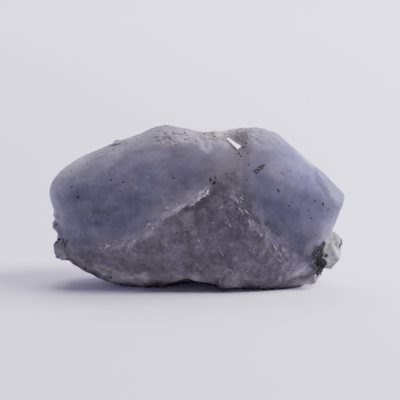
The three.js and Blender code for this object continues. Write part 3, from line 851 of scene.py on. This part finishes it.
# %% Graphite specks, each with dots across, dots down, and its half length in millimetres
DOME_SPECKS = [
    (71.6, 187.1, 0.12), (77.9, 197.4, 0.15), (111.2, 179.9, 0.10), (123.2, 182.2, 0.10),
    (120.4, 191.3, 0.08), (174.1, 177.9, 0.12), (185.2, 139.1, 0.15), (211.7, 178.0, 0.26),
    (213.6, 182.7, 0.22), (210.8, 179.9, 0.18), (216.4, 177.1, 0.18),
]
FACE_SPECKS = [
    (214.8, 136.2, 0.12), (226.6, 173.4, 0.12), (273.8, 145.3, 0.10), (279.7, 143.3, 0.07),
    (247.2, 130.3, 0.12), (248.8, 164.8, 0.09), (247.0, 179.6, 0.14), (277.9, 189.9, 0.13),
    (279.8, 191.8, 0.09), (282.0, 172.8, 0.09), (283.9, 174.7, 0.07), (290.3, 171.4, 0.07),
    (300.5, 195.2, 0.08), (301.5, 202.9, 0.10), (314.7, 201.1, 0.10), (323.1, 203.7, 0.13),
    (328.0, 209.1, 0.10), (308.6, 210.0, 0.09), (320.6, 210.2, 0.07), (289.1, 205.8, 0.10),
    (311.5, 217.6, 0.09), (332.4, 217.4, 0.07), (316.2, 235.3, 0.10), (323.9, 225.9, 0.08),
    (262.6, 201.7, 0.08), (321.8, 252.8, 0.24), (324.1, 253.8, 0.26), (326.0, 256.1, 0.26),
]
ROCK_SPECKS = [
    (230.7, 205.2, 0.12), (225.7, 201.4, 0.10), (237.5, 208.5, 0.10), (257.8, 254.8, 0.10),
    (191.2, 266.0, 0.10), (219.5, 228.8, 0.10), (237.2, 238.3, 0.10), (237.8, 234.1, 0.10),
    (210.0, 220.3, 0.10), (188.7, 240.6, 0.09), (177.1, 233.2, 0.10), (157.5, 249.5, 0.08),
    (257.3, 276.6, 0.10), (67.0, 259.0, 0.18), (81.3, 257.4, 0.10), (86.0, 268.0, 0.22),
    (111.0, 277.5, 0.14), (63.7, 241.9, 0.26), (65.6, 243.8, 0.24), (64.3, 246.2, 0.22),
    (67.4, 240.6, 0.18), (58.6, 239.7, 0.20),
]
SPECK_WIDTH, SPECK_THICK = 0.65, 0.045  # the width is a share of the length


def speck_seat(place, way_out, long, dice):
    """A flake of graphite that lies in the surface, turned at random."""
    sizes = (long, long * SPECK_WIDTH, SPECK_THICK)
    return place, way_out, dice.normal(size=3), sizes, dice.random() * 0.5


# %% Seat the specks
dice = np.random.default_rng(SPECK_SEED)
seats = []
for across, down, size in DOME_SPECKS + FACE_SPECKS + ROCK_SPECKS:
    place, way_out = seen_at(across, down)
    lie = way_out + 0.25 * dice.normal(size=3)
    seats.append(speck_seat(place, lie, size * dice.uniform(1.1, 1.5), dice))
print("specks found on the skin:", len(seats))

# %% [markdown]
# One larger inclusion on the right face is a little fan of scales. On the other sides of the
# stone the specks are sown at random, thinly, as nothing more is known about them. On the broken
# rock in front, short dark dashes lie along the grain.

# %% Dark streaks: x, z, the way along in x and z, half length and half width
CALCITE_STREAKS = [
    (15.3, 4.9, 0.1, 1, 0.34, 0.12), (15.25, 4.5, 0, 1, 0.34, 0.12),
    (15.15, 4.1, -0.2, 1, 0.32, 0.12),
]
LEFT_LUMP_STREAKS = [
    (-14.5, 5.15, 1, 0.25, 0.38, 0.10), (-14.7, 4.95, 0.3, -1, 0.26, 0.10),
    (-14.05, 5.2, 0.5, -1, 0.24, 0.13), (-13.9, 5.0, 1, -0.4, 0.24, 0.13),
    (-14.1, 4.85, 0, 1, 0.16, 0.12), (-13.8, 4.7, 0.6, -1, 0.16, 0.12),
]
KNOB_STREAKS = [
    (4.87, 15.0, 1, 0.3, 0.18, 0.12), (5.2, 15.35, 1, 0.5, 0.18, 0.09),
    (5.33, 14.4, 0, 1, 0.14, 0.10), (4.45, 14.4, 1, 0.2, 0.18, 0.11),
    (4.6, 14.15, 1, 0, 0.14, 0.09), (5.1, 15.0, 0.5, -1, 0.10, 0.07),
]
STREAKS = CALCITE_STREAKS + LEFT_LUMP_STREAKS + KNOB_STREAKS
STREAK_THICK, STREAK_TONE = 0.06, 0.2
TO_THE_FRONT = (0, -0.6, 0)  # turns the streaks a little towards the front
for x_streak, z_streak, to_x, to_z, long, wide in STREAKS:
    place, out = on_front(x_streak, z_streak)
    sizes = (long, wide, STREAK_THICK)
    seats.append((place, out + TO_THE_FRONT, (to_x, 0, to_z), sizes, STREAK_TONE))
print("streaks drawn:", len(STREAKS))

# %% Inclusion and specks elsewhere
SCALES_IN_FAN, DASHES_ON_ROCK, SPECKS_BEHIND = 22, 190, 60
FAN_START, FAN_REACH = (255.5, 171.6), (8.2, -5.9)  # in dots across and down
for _ in range(SCALES_IN_FAN):
    share = dice.random()
    across = FAN_START[0] + FAN_REACH[0] * share + dice.normal()
    down = FAN_START[1] + FAN_REACH[1] * share + dice.normal()
    place, way_out = seen_at(across, down)
    sizes = (dice.uniform(0.13, 0.24), dice.uniform(0.09, 0.15), 0.05)
    seats.append((place, way_out, (0.8, 0, 0.6), sizes, dice.random() * 0.4))
for i in sown(broken * front * soft_step(z, 1.0, 2.0), DASHES_ON_ROCK, dice):
    sizes = (mostly_small(dice, 0.04, 0.13, 2), 0.034, 0.03)
    along = GRAIN + 0.25 * dice.normal(size=3)
    seats.append((shaped[i], normal[i], along, sizes, dice.random() * 0.5))
for i in sown((1 - front) * (0.4 + 0.6 * smooth_faces), SPECKS_BEHIND, dice):
    seats.append(speck_seat(shaped[i], normal[i], mostly_small(dice, 0.05, 0.12, 2), dice))
graphite_specks = planted("graphite_specks", seats, dice)

# %% [markdown]
# The seam of graphite beside the calcite is a pile of small scales, thin and shiny, lying every
# way. White crumbs of calcite are mixed in at its foot.

# %% Graphite scales
dice = np.random.default_rng(SCALE_SEED)
seats = []
for i in sown(graphite**2, SCALE_COUNT, dice):
    long = mostly_small(dice, 0.06, 0.13, 2)
    lie = normal[i] + 0.35 * dice.normal(size=3)
    seats.append((shaped[i], lie, dice.normal(size=3), (long, long * 0.8, 0.06), dice.random()))
for share in np.linspace(0, 1, 6):  # the large flake that the pile leans on
    place, out = on_front(13.3 - 0.5 * share, 4.95 - 1.55 * share)
    seats.append((place, out + (0.2, -1, 0), (-0.3, 0, -1), (0.30, 0.20 - 0.04 * share, 0.12), 0.1))
graphite_scales = planted("graphite_scales", seats, dice)

# %% Calcite crumbs
dice = np.random.default_rng(CALCITE_SEED)
calcite_rim = egg(shaped, 14.3, 5.0, 0.9, 0.45) + 0.6 * egg(shaped, 12.6, 1.9, 0.5, 0.5) * front
seats = []
for i in sown(calcite_rim, CALCITE_COUNT, dice):
    size = mostly_small(dice, 0.06, 0.12, 2)
    lie = normal[i] + 0.5 * dice.normal(size=3)
    sizes = (size * 1.3, size, size * 0.8)
    place = shaped[i] - normal[i] * size * 0.2
    seats.append((place, lie, dice.normal(size=3), sizes, dice.random()))
calcite_crumbs = planted("calcite_crumbs", seats, dice)

# %% [markdown]
# On the broken rock, splinters of the crystal have lifted along its grain. They are thin and
# bright. The longest lie side by side in bundles, which are listed here, and the rest are sown
# over the rock.


# %% Splinters
SPLINTER_BUNDLES = [  # middle in x and z, half length, width of the bundle, number, tone
    (4.5, 10.1, 0.28, 0.30, 5, 0.8), (4.9, 8.8, 0.45, 0.14, 4, 0.6), (5.7, 7.6, 0.35, 0.20, 5, 0.4),
    (6.5, 6.3, 0.30, 0.15, 4, 0.5), (7.2, 6.6, 0.35, 0.20, 4, 0.4), (8.2, 5.0, 0.65, 0.16, 5, 0.45),
    (8.6, 4.3, 0.40, 0.40, 9, 0.25), (9.0, 3.9, 0.30, 0.35, 7, 0.2), (4.0, 3.7, 0.45, 0.18, 5, 0.5),
    (3.4, 2.6, 0.25, 0.12, 3, 0.8), (5.2, 2.4, 0.20, 0.30, 7, 0.3), (8.6, 1.5, 0.30, 0.10, 3, 0.5),
    (9.9, 2.5, 0.22, 0.12, 3, 0.6), (2.7, 4.4, 0.25, 0.12, 3, 0.4), (0.2, 5.8, 0.25, 0.12, 3, 0.4),
    (-3.2, 5.2, 0.25, 0.14, 3, 0.35), (1.7, 7.7, 0.28, 0.12, 3, 0.4),
    (-5.4, 4.3, 0.25, 0.14, 3, 0.35), (2.4, 9.3, 0.20, 0.30, 5, 0.3),
    (3.4, 7.4, 0.22, 0.35, 5, 0.25), (-1.0, 7.0, 0.20, 0.40, 5, 0.25),
]
dice = np.random.default_rng(SPLINTER_SEED)
seats = []
for x_bundle, z_bundle, half, wide, number, tone in SPLINTER_BUNDLES:
    for _ in range(number):
        across = wide * dice.normal()
        along = 0.4 * half * dice.normal()
        x_here = x_bundle + 0.64 * along + 0.77 * across
        place, out = on_front(x_here, z_bundle - 0.77 * along + 0.64 * across)
        direction = GRAIN + 0.05 * dice.normal(size=3)
        sizes = (half * dice.uniform(0.5, 1.1), 0.026, 0.03)
        seats.append((place, out, direction, sizes, tone * dice.uniform(0.5, 1.2)))
rock_front = broken * front * soft_step(x, -12, -9)
rock_front *= 0.35 + 0.65 * np.clip(waves(shaped, 1.8, 310), 0, 1)
rock_front *= soft_step(z, 0.6, 1.2) * (1 - graphite) * (1 - calcite)
for i in sown(rock_front, SPLINTER_COUNT, dice):
    sizes = (mostly_small(dice, 0.05, 0.16, 2), 0.028, 0.028)
    along = GRAIN + 0.12 * dice.normal(size=3)
    lie = normal[i] + 0.2 * dice.normal(size=3)
    seats.append((shaped[i], lie, along, sizes, 0.3 * dice.random()))
splinter_piece = planted("splinters", seats, dice, 0.15)

# %% [markdown]
# Two flakes are large enough to be drawn one by one. A bright white chip with square ends lies
# beside the knob of the crown, and a smaller pale flake stands up from the left slope. Each is
# drawn as an outline between two ends, and given a thickness, with its upper edges cut off.


# %% White chip and pale flake
FLAKE_ROOT = -0.30  # how deep a flake reaches into the stone


def flake(name, start, end, facing_way, outline, thick):
    """A thin flat stone. The outline is in half lengths along it and in millimetres across it."""
    start, end = Vector(start), Vector(end)
    half = (end - start).length / 2
    along = (end - start).normalized()
    side = Vector(facing_way).cross(along).normalized()
    up = along.cross(side)
    shape = bmesh.new()
    rings = []
    for height, share in ((FLAKE_ROOT, 0.9), (thick * 0.7, 1.0), (thick, 0.93)):
        middle = (start + end) / 2 + up * height
        ring = [middle + along * (u * half * share) + side * (v * share) for u, v in outline]
        rings.append([shape.verts.new(corner) for corner in ring])
    for lower, upper in zip(rings[:-1], rings[1:]):
        for k in range(len(lower)):
            after = (k + 1) % len(lower)
            shape.faces.new((lower[k], lower[after], upper[after], upper[k]))
    shape.faces.new(rings[-1])
    shape.faces.new(rings[0][::-1])
    bmesh.ops.recalc_face_normals(shape, faces=shape.faces)
    mesh = bpy.data.meshes.new(name)
    shape.to_mesh(mesh)
    shape.free()
    keep(mesh, "tone", np.full(len(mesh.vertices), 0.6))
    print(name, "has", len(mesh.polygons), "faces")
    return join_stone(mesh, name)


CHIP_OUTLINE = [(-1.0, -0.12), (-0.96, 0.14), (0.2, 0.21), (0.93, 0.29), (1.0, -0.24), (0.1, -0.20)]
chip_start, _ = on_front(3.2, 15.77)
chip_end, _ = on_front(4.42, 14.87)
white_chip = flake("white_chip", chip_start, chip_end, (0.35, -0.75, 0.5), CHIP_OUTLINE, 0.16)
FLAKE_OUTLINE = [(-1.0, -0.1), (-0.55, 0.22), (0.1, 0.3), (0.7, 0.16), (1.0, -0.12), (0.2, -0.24)]
flake_start, flake_end = (-8.9, -1.5, 15.15), (-7.9, -1.5, 15.55)
pale_flake = flake("pale_flake", flake_start, flake_end, (-0.35, -0.75, 0.4), FLAKE_OUTLINE, 0.14)

# %% [markdown]
# ## Small helpers for finishes
#
# A Blender material is a net of nodes. These helpers each add one node, feed it, and hand back
# its output, so that a finish can be written down like a recipe. Sizes are in millimetres here
# too: the coordinates that they start from are multiplied by a thousand first.


# %% Feeding a node
def feed(tree, socket, value):
    """Links an output to a socket, or sets the socket if the value is a plain number or colour."""
    if isinstance(value, bpy.types.NodeSocket):
        tree.links.new(value, socket)
    elif isinstance(value, (tuple, list)) and len(value) == 3 and socket.type == "RGBA":
        socket.default_value = (*value, 1)
    else:
        socket.default_value = value


def feed_all(tree, fed, values):
    """Feeds the inputs of a node that are given by name or number."""
    for name, value in values.items():
        feed(tree, fed.inputs[name], value)


def node(tree, kind, values, output=0, **settings):
    """Adds a node, feeds it, and hands back one of its outputs."""
    made = tree.nodes.new("ShaderNode" + kind)
    for name, setting in settings.items():
        setattr(made, name, setting)
    feed_all(tree, made, values)
    return made.outputs[output]


# %% Numbers and colours
def maths(tree, operation, *numbers):
    """One sum of two or three numbers. MULTIPLY_ADD is first times second, plus third."""
    return node(tree, "Math", dict(enumerate(numbers)), operation=operation)


def times(tree, product, *others):
    """All of these multiplied together."""
    for other in others:
        product = maths(tree, "MULTIPLY", product, other)
    return product


def fade(tree, *numbers):
    """From a value, start and end: 0 before start, 1 after end. Two more change that 0 and 1."""
    return node(tree, "MapRange", dict(enumerate(numbers)))


def blend(tree, share, a, b):
    """Colour a with a share of colour b."""
    return node(tree, "Mix", {0: share, 6: a, 7: b}, 2, data_type="RGBA", clamp_factor=True)


def dimmed(tree, colour, share):
    """The colour multiplied by a number."""
    return node(tree, "VectorMath", {0: colour, "Scale": share}, operation="SCALE")


def stored(tree, name, output="Fac"):
    """The number or colour that a mesh keeps under this name."""
    return node(tree, "Attribute", {}, output, attribute_name=name)


# %% Places and patterns
def millimetres(tree):
    """The place on the object in millimetres."""
    return dimmed(tree, node(tree, "TexCoord", {}, "Object"), 1 / MM)


def stretched(tree, place, turn, sizes):
    """The place turned in x and z, then measured in units of these sizes."""
    values = {"Vector": place, "Rotation": (0, turn, 0), "Scale": sizes}
    return node(tree, "Mapping", values, vector_type="TEXTURE")


def cloud(tree, place, size, detail=3.0, rough=0.55, warp=0.0):
    """Soft noise about 0.5, with swells of about that size."""
    values = {"Vector": place, "Scale": 1 / size, "Detail": detail, "Roughness": rough}
    return node(tree, "TexNoise", values | {"Distortion": warp}, "Fac")


def grains(tree, place, size, output="Color"):
    """Grains of about that size: a shade for each, or the distance from its middle."""
    return node(tree, "TexVoronoi", {"Vector": place, "Scale": 1 / size}, output)


def bumped(tree, shader, height, distance, strength):
    """Gives a shader a bump. The distance is in millimetres."""
    values = {"Height": height, "Distance": distance * MM, "Strength": strength}
    feed_all(tree, shader, {"Normal": node(tree, "Bump", values)})


def new_finish(name, *pieces):
    """A new material on these pieces. Returns its tree and its shader."""
    finish = bpy.data.materials.new(name)
    finish.use_nodes = True
    for piece in pieces:
        piece.data.materials.append(finish)
    return finish.node_tree, finish.node_tree.nodes["Principled BSDF"]


# %% [markdown]
# ## The finish of the zoisite
#
# The body colour is the tint that was laid on the skin, broken up by clouds. One kind is soft and
# round. Another is drawn out sideways, as the stone's dark wisps are. The last is a fine
# milkiness.

# %% Body colour
net, shader = new_finish("rough_zoisite", crystal)
spot = millimetres(net)
broken_here = stored(net, "broken")
frost_here = stored(net, "frost")
edge_here = stored(net, "edge")

clouds = fade(net, cloud(net, spot, 1.5, 4.0, 0.6, 0.6), 0.3, 0.7, 0.80, 1.22)
wisp_place = stretched(net, spot, -0.12, (1.1, 1.0, 0.55))
wisps = fade(net, cloud(net, wisp_place, 1.0, 3.0, 0.55, 0.5), 0.3, 0.7, 0.93, 1.08)
milk = fade(net, cloud(net, spot, 0.35, 3.0, 0.6), 0.3, 0.7, 0.92, 1.08)
body = dimmed(net, stored(net, "tint", "Color"), times(net, clouds, wisps, milk))
print("nodes in the body colour:", len(net.nodes))

# %% [markdown]
# The broken rock glints. Its grains differ a little from one to the next, and faint pale hatching
# lies along the crystal's grain, where its layers have parted and let air in.

# %% Grain and hatching of the broken rock
rock_grain = fade(net, grains(net, spot, 0.32), 0.0, 1.0, 0.86, 1.14)
rock_grain = times(net, rock_grain, fade(net, cloud(net, spot, 0.8, 3.0), 0.3, 0.7, 0.82, 1.2))
body_rock = dimmed(net, body, rock_grain)
colour = blend(net, broken_here, body, body_rock)

hatch_place = stretched(net, spot, GRAIN_TILT, (0.9, 0.3, 0.10))
hatching = fade(net, cloud(net, hatch_place, 1.0, 1.5, 0.4), 0.58, 0.72)
hatch_patches = fade(net, cloud(net, spot, 1.4, 2.0), 0.40, 0.62)
hatching = times(net, hatching, hatch_patches, broken_here, 0.22)
colour = blend(net, hatching, colour, (0.26, 0.25, 0.28))
print("nodes with the grain and hatching:", len(net.nodes))

# %% [markdown]
# Ridges of broken stone look white, because they are full of tiny cracks. Hollows are painted
# darker, as the shade that falls into them. The relief is known at every point, so it drives
# both. Frost whitens the stone as the ridges do, more strongly, in crumbs.

# %% Ridges, painted shade in hollows, and frost
worn = fade(net, edge_here, 0.008, 0.05)
worn = times(net, worn, maths(net, "MULTIPLY_ADD", broken_here, 0.14, 0.05))
colour = blend(net, worn, colour, (0.30, 0.29, 0.32))
# painted shade: the hollows of the relief are darkened
hollow_shade = times(net, fade(net, edge_here, -0.008, -0.05), 0.30)
colour = blend(net, hollow_shade, colour, (0.032, 0.029, 0.036))

crumb_tone = grains(net, spot, 0.22)
crumb_share = times(net, fade(net, crumb_tone, 0.45, 0.95), fade(net, frost_here, 0.1, 0.7))
crumb_share = times(net, crumb_share, fade(net, cloud(net, spot, 0.7, 2.0), 0.40, 0.60), 0.6)
colour = blend(net, crumb_share, colour, (0.29, 0.275, 0.30))
print("nodes with the frost:", len(net.nodes))

# %% [markdown]
# Two other minerals grew with the zoisite at its right end: a grain of calcite, grey-green and
# glassy, and black graphite. Dust-sized dark specks lie all through the stone.

# %% Other minerals
calcite_share = fade(net, cloud(net, spot, 0.9, 4.0), 0.38, 0.66)
calcite_tone = blend(net, calcite_share, (0.120, 0.124, 0.110), (0.250, 0.255, 0.235))
colour = blend(net, stored(net, "calcite"), colour, calcite_tone)

graphite_here = stored(net, "graphite")
flakes = grains(net, spot, 0.2)
graphite_share = fade(net, maths(net, "MULTIPLY_ADD", flakes, 0.4, graphite_here), 0.40, 0.62)
graphite_tone = blend(net, fade(net, flakes, 0.7, 0.95), (0.009, 0.009, 0.010), (0.10, 0.10, 0.10))
colour = blend(net, graphite_share, colour, graphite_tone)

speck_size = fade(net, grains(net, spot, 1.1, "Distance"), 0.075, 0.045)
speck_pick = fade(net, grains(net, spot, 1.1), 0.52, 0.56)
colour = blend(net, times(net, speck_size, speck_pick, 0.6), colour, (0.03, 0.027, 0.04))
print("nodes with the other minerals:", len(net.nodes))

# %% [markdown]
# The gloss is that of wax on the smooth faces and of sugar on the breaks. Numbers that are the
# same all over are set on the shader itself. A little light passes under the surface, which
# softens the shading as real zoisite does. The rim of the bevel is rubbed dull. The fine grain is
# a bump, as it is smaller than the skin's own faces.

# %% Gloss, bump and depth of light
ZOISITE_IOR = 1.69
gloss = fade(net, broken_here, 0.0, 1.0, 0.42, 0.62)
gloss = maths(net, "MULTIPLY_ADD", milk, 0.1, gloss)
gloss = maths(net, "MULTIPLY_ADD", stored(net, "dull_rim"), 0.35, gloss)
feed_all(net, shader, {"Base Color": colour, "Roughness": gloss, "IOR": ZOISITE_IOR})
feed_all(net, shader, {"Specular IOR Level": 0.15, "Subsurface Weight": 0.3})
feed_all(net, shader, {"Subsurface Scale": 1.2 * MM, "Subsurface Radius": (0.8, 0.8, 1.0)})

fine_grain = cloud(net, stretched(net, spot, GRAIN_TILT, (0.35, 0.2, 0.12)), 1.0, 4.0, 0.65)
fine_height = times(net, fine_grain, maths(net, "MULTIPLY_ADD", broken_here, 0.5, 0.06))
bumped(net, shader, fine_height, 0.12, 0.5)
print("the zoisite's finish has", len(net.nodes), "nodes")

# %% [markdown]
# ## Finishes of the grains
#
# Frost crumbs and splinters are the same zoisite, white with tiny cracks. Each keeps a tone of
# its own, so that no two are alike. Graphite is nearly black with a soft metal shine on its
# scales.

# %% Frost, splinters, calcite and chip
ROUGHNESS_SPREAD = 0.08
GRAIN_FINISHES = [  # name, piece, darkest and lightest colour, roughness
    ("frosted_zoisite", frost_crumbs, (0.10, 0.093, 0.11), (0.42, 0.40, 0.41), 0.45),
    ("lifted_zoisite", splinter_piece, (0.08, 0.075, 0.085), (0.26, 0.25, 0.27), 0.45),
    ("crumbled_calcite", calcite_crumbs, (0.15, 0.15, 0.14), (0.38, 0.38, 0.36), 0.45),
    ("milky_chip", white_chip, (0.93, 0.90, 0.915), (0.98, 0.95, 0.96), 0.35),
    ("pale_zoisite", pale_flake, (0.34, 0.33, 0.37), (0.52, 0.50, 0.55), 0.40),
]
for name, piece, dark, light, rough in GRAIN_FINISHES:
    net, shader = new_finish(name, piece)
    speckle = cloud(net, millimetres(net), 0.12, 3.0, 0.6)
    share = maths(net, "MULTIPLY_ADD", speckle, 0.6, stored(net, "tone"))
    base = blend(net, fade(net, share, 0.2, 1.2), dark, light)
    roughness = fade(net, speckle, 0.3, 0.7, rough - ROUGHNESS_SPREAD, rough + ROUGHNESS_SPREAD)
    feed_all(net, shader, {"Base Color": base, "Roughness": roughness, "IOR": ZOISITE_IOR})
    bumped(net, shader, speckle, 0.04, 0.4)

# %% Graphite
GRAPHITE_FINISHES = [  # name, piece, darkest and lightest colour
    ("graphite_in_zoisite", graphite_specks, (0.012, 0.011, 0.016), (0.04, 0.037, 0.048)),
    ("graphite_in_scales", graphite_scales, (0.006, 0.006, 0.006), (0.080, 0.080, 0.080)),
]
for name, piece, dark, light in GRAPHITE_FINISHES:
    net, shader = new_finish(name, piece)
    rubbed = cloud(net, stretched(net, millimetres(net), 0.6, (0.3, 0.3, 0.06)), 1.0, 3.0)
    tone = maths(net, "POWER", stored(net, "tone"), 5.0)
    share = times(net, tone, fade(net, rubbed, 0.3, 0.7, 0.5, 1.0))
    base = blend(net, share, dark, light)
    roughness = fade(net, rubbed, 0.3, 0.7, 0.35, 0.55)
    feed_all(net, shader, {"Base Color": base, "Roughness": roughness, "Specular IOR Level": 0.25})
    bumped(net, shader, rubbed, 0.03, 0.4)
print("finishes:", len(bpy.data.materials))

# %% [markdown]
# ## Table and light
#
# The stone stands on pale lilac-grey card. The card is flat around the stone and curves up into a
# low wall far from it, all the way round, like a very wide dish. A flat sheet with a wall behind
# it would show a line where they meet, and an edge from the other sides. The dish shows neither.

# %% The dish of card
DISH_MIDDLE = -150  # along y: the wall is closer behind the stone than in front of it
FLAT_RADIUS = 210
CURVE_RADIUS = 120
WALL_TOP = 170
AROUND = 128
CURVE_STEPS = 18

profile = [(FLAT_RADIUS, 0)]
for a in np.linspace(0.08, math.pi / 2, CURVE_STEPS):
    profile.append((FLAT_RADIUS + CURVE_RADIUS * math.sin(a), CURVE_RADIUS * (1 - math.cos(a))))
profile.append((FLAT_RADIUS + CURVE_RADIUS, WALL_TOP))

card = bmesh.new()
middle = card.verts.new((0, DISH_MIDDLE * MM, 0))
rings = []
turns = np.linspace(0, 2 * math.pi, AROUND, endpoint=False)
for radius, height in profile:
    ring = [(radius * math.cos(t), DISH_MIDDLE + radius * math.sin(t), height) for t in turns]
    rings.append([card.verts.new(Vector(place) * MM) for place in ring])
for k in range(AROUND):
    after = (k + 1) % AROUND
    card.faces.new((middle, rings[0][k], rings[0][after]))
    for inner, outer in zip(rings[:-1], rings[1:]):
        card.faces.new((inner[k], outer[k], outer[after], inner[after]))
for flat in card.faces:
    flat.smooth = True
card_mesh = bpy.data.meshes.new("card_dish")
card.to_mesh(card_mesh)
card.free()
dish = new_object("card_dish", card_mesh)
dish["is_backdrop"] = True

# %% The card's finish
WALL_PAINTED_LIGHT = (0.88, 0.86, 0.985)
net, shader = new_finish("lilac_grey_card", dish)
spot = millimetres(net)
fibres = fade(net, cloud(net, spot, 0.5, 4.0, 0.6), 0.3, 0.7)
paper = blend(net, fibres, (0.700, 0.680, 0.785), (0.720, 0.700, 0.805))
# painted light: the card turns paler up the wall, for the brighter light that falls on the backdrop
painted_wall_light = fade(net, node(net, "SeparateXYZ", {0: spot}, 2), 0.0, 30.0)
base = blend(net, painted_wall_light, paper, WALL_PAINTED_LIGHT)
feed_all(net, shader, {"Base Color": base, "Roughness": 0.85, "Specular IOR Level": 0.2})
print("dish of card:", len(card_mesh.polygons), "faces")

# %% [markdown]
# Three large lamps light the stone softly. One stands low on the right, and throws the long soft
# shadow to the left. One hangs above on the right. The third is above and behind, and gives the
# pale rim along the top and the faint shade in front. The card itself throws their light back on
# the stone's front.

# %% Lamps
LAMPS = [  # name, place, side, watts, colour
    ("lamp_on_the_right", (190, 10, 110), 110, 1.17, (0.935, 0.885, 1.0)),
    ("lamp_above_right", (150, -60, 200), 110, 0.66, (0.935, 0.885, 1.0)),
    ("lamp_above_behind", (0, 160, 200), 200, 0.91, (0.930, 0.878, 1.0)),
]
for name, place, side, watts, colour in LAMPS:
    light = bpy.data.lights.new(name, "AREA")
    light.size = side * MM
    light.energy = watts
    light.color = colour
    lamp = new_object(name, light)
    lamp.location = Vector(place) * MM
    lamp.rotation_mode = "QUATERNION"
    lamp.rotation_quaternion = (Vector(place) - AIM).to_track_quat("Z", "Y")
print("table and light are set")

# %% [markdown]
# ## Sizes and the end
#
# The dressed stone is meant to stay inside the box of the imported solid. Both boxes are
# printed here, so that they can be compared.

# %% Print both boxes
new_low, new_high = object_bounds()
sizes = {"cad": [list(cad_low), list(cad_high)], "visual": [list(new_low), list(new_high)]}
print("packed box", np.round(LOW, 2), np.round(HIGH, 2), "mm")
print("dressed box", *np.round(np.array([new_low, new_high]) / MM, 2), "mm")
